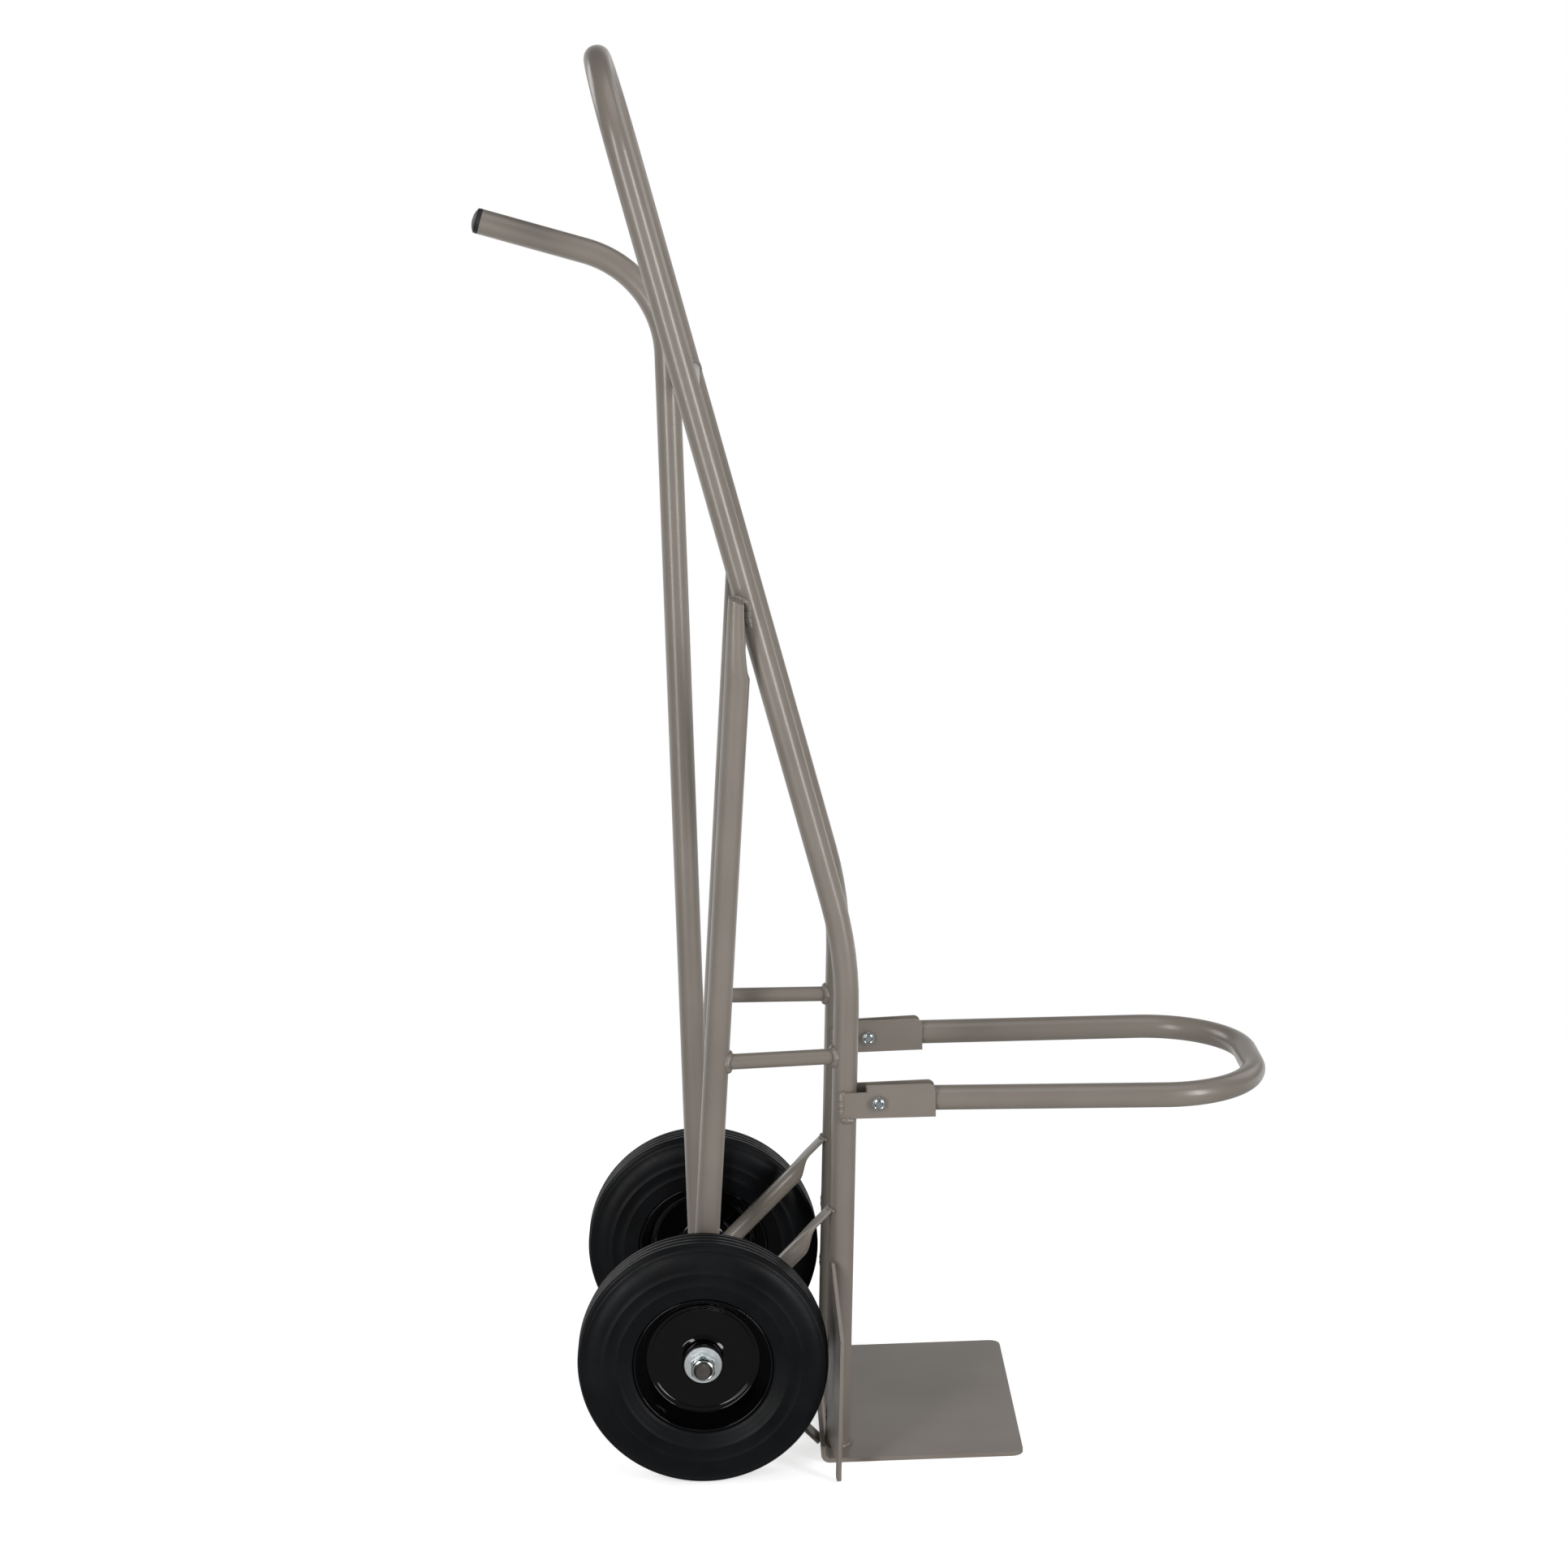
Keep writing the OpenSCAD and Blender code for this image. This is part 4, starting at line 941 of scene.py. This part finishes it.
# Studio
# A white sweep and tall soft lamps, as in a catalogue picture. The floor takes the dolly's shadow, and
# the room in front of the sweep is a little dimmer, which gives the tubes and enamel their contrast.
WHITE = linear("#ffffff")
PAPER_GLOW = 0.62
DIM_FRONT = 0.3


def studio_floor():
    """Matt white paper that fades into the white backdrop away from the dolly. Glossy surfaces see
    it as dim in front of the dolly and as white behind it."""
    material = new_material("studio_floor")
    place = add_node(material, "ShaderNodeTexCoord").outputs["Object"]
    reach = add_node(material, "ShaderNodeVectorMath", {0: place}, operation="LENGTH")
    fade = add_node(material, "ShaderNodeMapRange",
                    {"Value": reach.outputs["Value"], "From Min": 0.5, "From Max": 1.3},
                    interpolation_type="SMOOTHSTEP")
    rays = add_node(material, "ShaderNodeLightPath")
    seen = add_node(material, "ShaderNodeMath",
                    {0: rays.outputs["Is Camera Ray"], 1: rays.outputs["Is Transmission Ray"]},
                    operation="MAXIMUM")
    paper = add_node(material, "ShaderNodeBsdfDiffuse", {"Color": linear("#f2f2f2")})
    glow = add_node(material, "ShaderNodeEmission", {"Color": WHITE, "Strength": PAPER_GLOW})
    near = add_node(material, "ShaderNodeAddShader", {0: paper.outputs[0], 1: glow.outputs[0]})
    white = add_node(material, "ShaderNodeEmission", {"Color": WHITE, "Strength": 1.0})
    faded = add_node(material, "ShaderNodeMixShader",
                     {0: fade.outputs[0], 1: near.outputs[0], 2: white.outputs[0]})
    matt = add_node(material, "ShaderNodeMixShader",
                    {0: seen.outputs[0], 1: paper.outputs[0], 2: faded.outputs[0]})
    depth = add_node(material, "ShaderNodeSeparateXYZ", {0: place}).outputs["Y"]
    behind = add_node(material, "ShaderNodeMapRange", {"Value": depth, "From Min": 0.0, "From Max": 0.6})
    sweep = add_node(material, "ShaderNodeMath", {0: fade.outputs[0], 1: behind.outputs[0]},
                     operation="MULTIPLY")
    strength = add_node(material, "ShaderNodeMapRange",
                        {"Value": sweep.outputs[0], "To Min": DIM_FRONT, "To Max": 1.0})
    reflected = add_node(material, "ShaderNodeEmission",
                         {"Color": WHITE, "Strength": strength.outputs[0]})
    surface = add_node(material, "ShaderNodeMixShader",
                       {0: rays.outputs["Is Glossy Ray"], 1: matt.outputs[0], 2: reflected.outputs[0]})
    return finish_material(material, surface)


FLOOR_HALF = 12
floor_mesh = bmesh.new()
bmesh.ops.create_grid(floor_mesh, x_segments=1, y_segments=1, size=FLOOR_HALF)
floor = finish_mesh("studio_floor", floor_mesh)
floor.data.materials.append(studio_floor())

# The air is white to the camera, and mirrored surfaces see it as white only towards the sweep
AIR_LIGHT = 0.18
DIM_ROOM = 0.15
SWEEP_DIRECTION = (0, 0.98, -0.2)
world = bpy.data.worlds.new("studio_air")
bpy.context.scene.world = world
world.use_nodes = True
world.node_tree.nodes.clear()
rays = add_node(world, "ShaderNodeLightPath")
direction = add_node(world, "ShaderNodeTexCoord").outputs["Generated"]
towards_sweep = add_node(world, "ShaderNodeVectorMath", {0: direction, 1: SWEEP_DIRECTION},
                         operation="DOT_PRODUCT")
room = add_node(world, "ShaderNodeMapRange",
                {"Value": towards_sweep.outputs["Value"], "From Min": 0.7, "From Max": 1.0,
                 "To Min": DIM_ROOM, "To Max": 1.0})
mirrored_room = add_node(world, "ShaderNodeMath",
                         {0: rays.outputs["Is Glossy Ray"], 1: room.outputs[0]}, operation="MULTIPLY")
straight_on = add_node(world, "ShaderNodeMath",
                       {0: rays.outputs["Is Camera Ray"], 1: rays.outputs["Is Transmission Ray"]},
                       operation="MAXIMUM")
seen = add_node(world, "ShaderNodeMath", {0: straight_on.outputs[0], 1: mirrored_room.outputs[0]},
                operation="MAXIMUM")
strength = add_node(world, "ShaderNodeMath", {0: seen.outputs[0], 1: AIR_LIGHT}, operation="MAXIMUM")
air = add_node(world, "ShaderNodeBackground", {"Color": WHITE, "Strength": strength.outputs[0]})
add_node(world, "ShaderNodeOutputWorld", {"Surface": air.outputs[0]})


def softbox(name, place, aim_height, width, height, watts):
    """A large rectangular lamp that looks at a point above the dolly's middle."""
    lamp = bpy.data.lights.new(name, "AREA")
    lamp.shape = "RECTANGLE"
    lamp.size = width
    lamp.size_y = height
    lamp.energy = watts
    holder = bpy.data.objects.new(name, lamp)
    holder.location = place
    holder.rotation_euler = (Vector((0, 0, aim_height)) - Vector(place)).to_track_quat("-Z", "Y").to_euler()
    bpy.context.scene.collection.objects.link(holder)
    return holder


softbox("softbox_left", (-1.65, -2.65, 1.3), aim_height=0.9, width=0.5, height=2.5, watts=44)
softbox("softbox_right", (2.7, -3.0, 1.5), aim_height=0.9, width=0.7, height=2.6, watts=80)
softbox("softbox_top", (0.6, -0.6, 3.4), aim_height=0.4, width=2.4, height=1.6, watts=13)
softbox("softbox_rear_left", (-3.0, 2.0, 2.3), aim_height=0.7, width=1.8, height=1.8, watts=36)
softbox("softbox_rear_right", (3.0, 2.2, 2.6), aim_height=0.7, width=2.4, height=2.4, watts=24)

# The camera was fitted to the photograph, whose focal length is given in its pixels
PHOTO_WIDTH = 1932
FOCAL_PIXELS = 4310.8
SENSOR_WIDTH = 36
camera_data = bpy.data.cameras.new("photo_camera")
camera_data.sensor_width = SENSOR_WIDTH
camera_data.lens = FOCAL_PIXELS / PHOTO_WIDTH * SENSOR_WIDTH
camera_data.clip_end = 50
camera = bpy.data.objects.new("photo_camera", camera_data)
camera_place = spot(49.0, -3524.5, 1442.0)
pitch = math.radians(12.18)
yaw = math.radians(0.875)
roll = 0.0311
forward = Vector((math.sin(yaw) * math.cos(pitch), math.cos(yaw) * math.cos(pitch), -math.sin(pitch)))
level = Vector((math.cos(yaw), -math.sin(yaw), 0))
upward = level.cross(forward)
right = math.cos(roll) * level - math.sin(roll) * upward
up = math.sin(roll) * level + math.cos(roll) * upward
camera.matrix_world = (Matrix.Translation(camera_place)
                       @ Matrix((right, up, -forward)).transposed().to_4x4())
bpy.context.scene.collection.objects.link(camera)
bpy.context.scene.camera = camera
bpy.context.scene.view_settings.view_transform = "Standard"

bpy.context.view_layer.update()
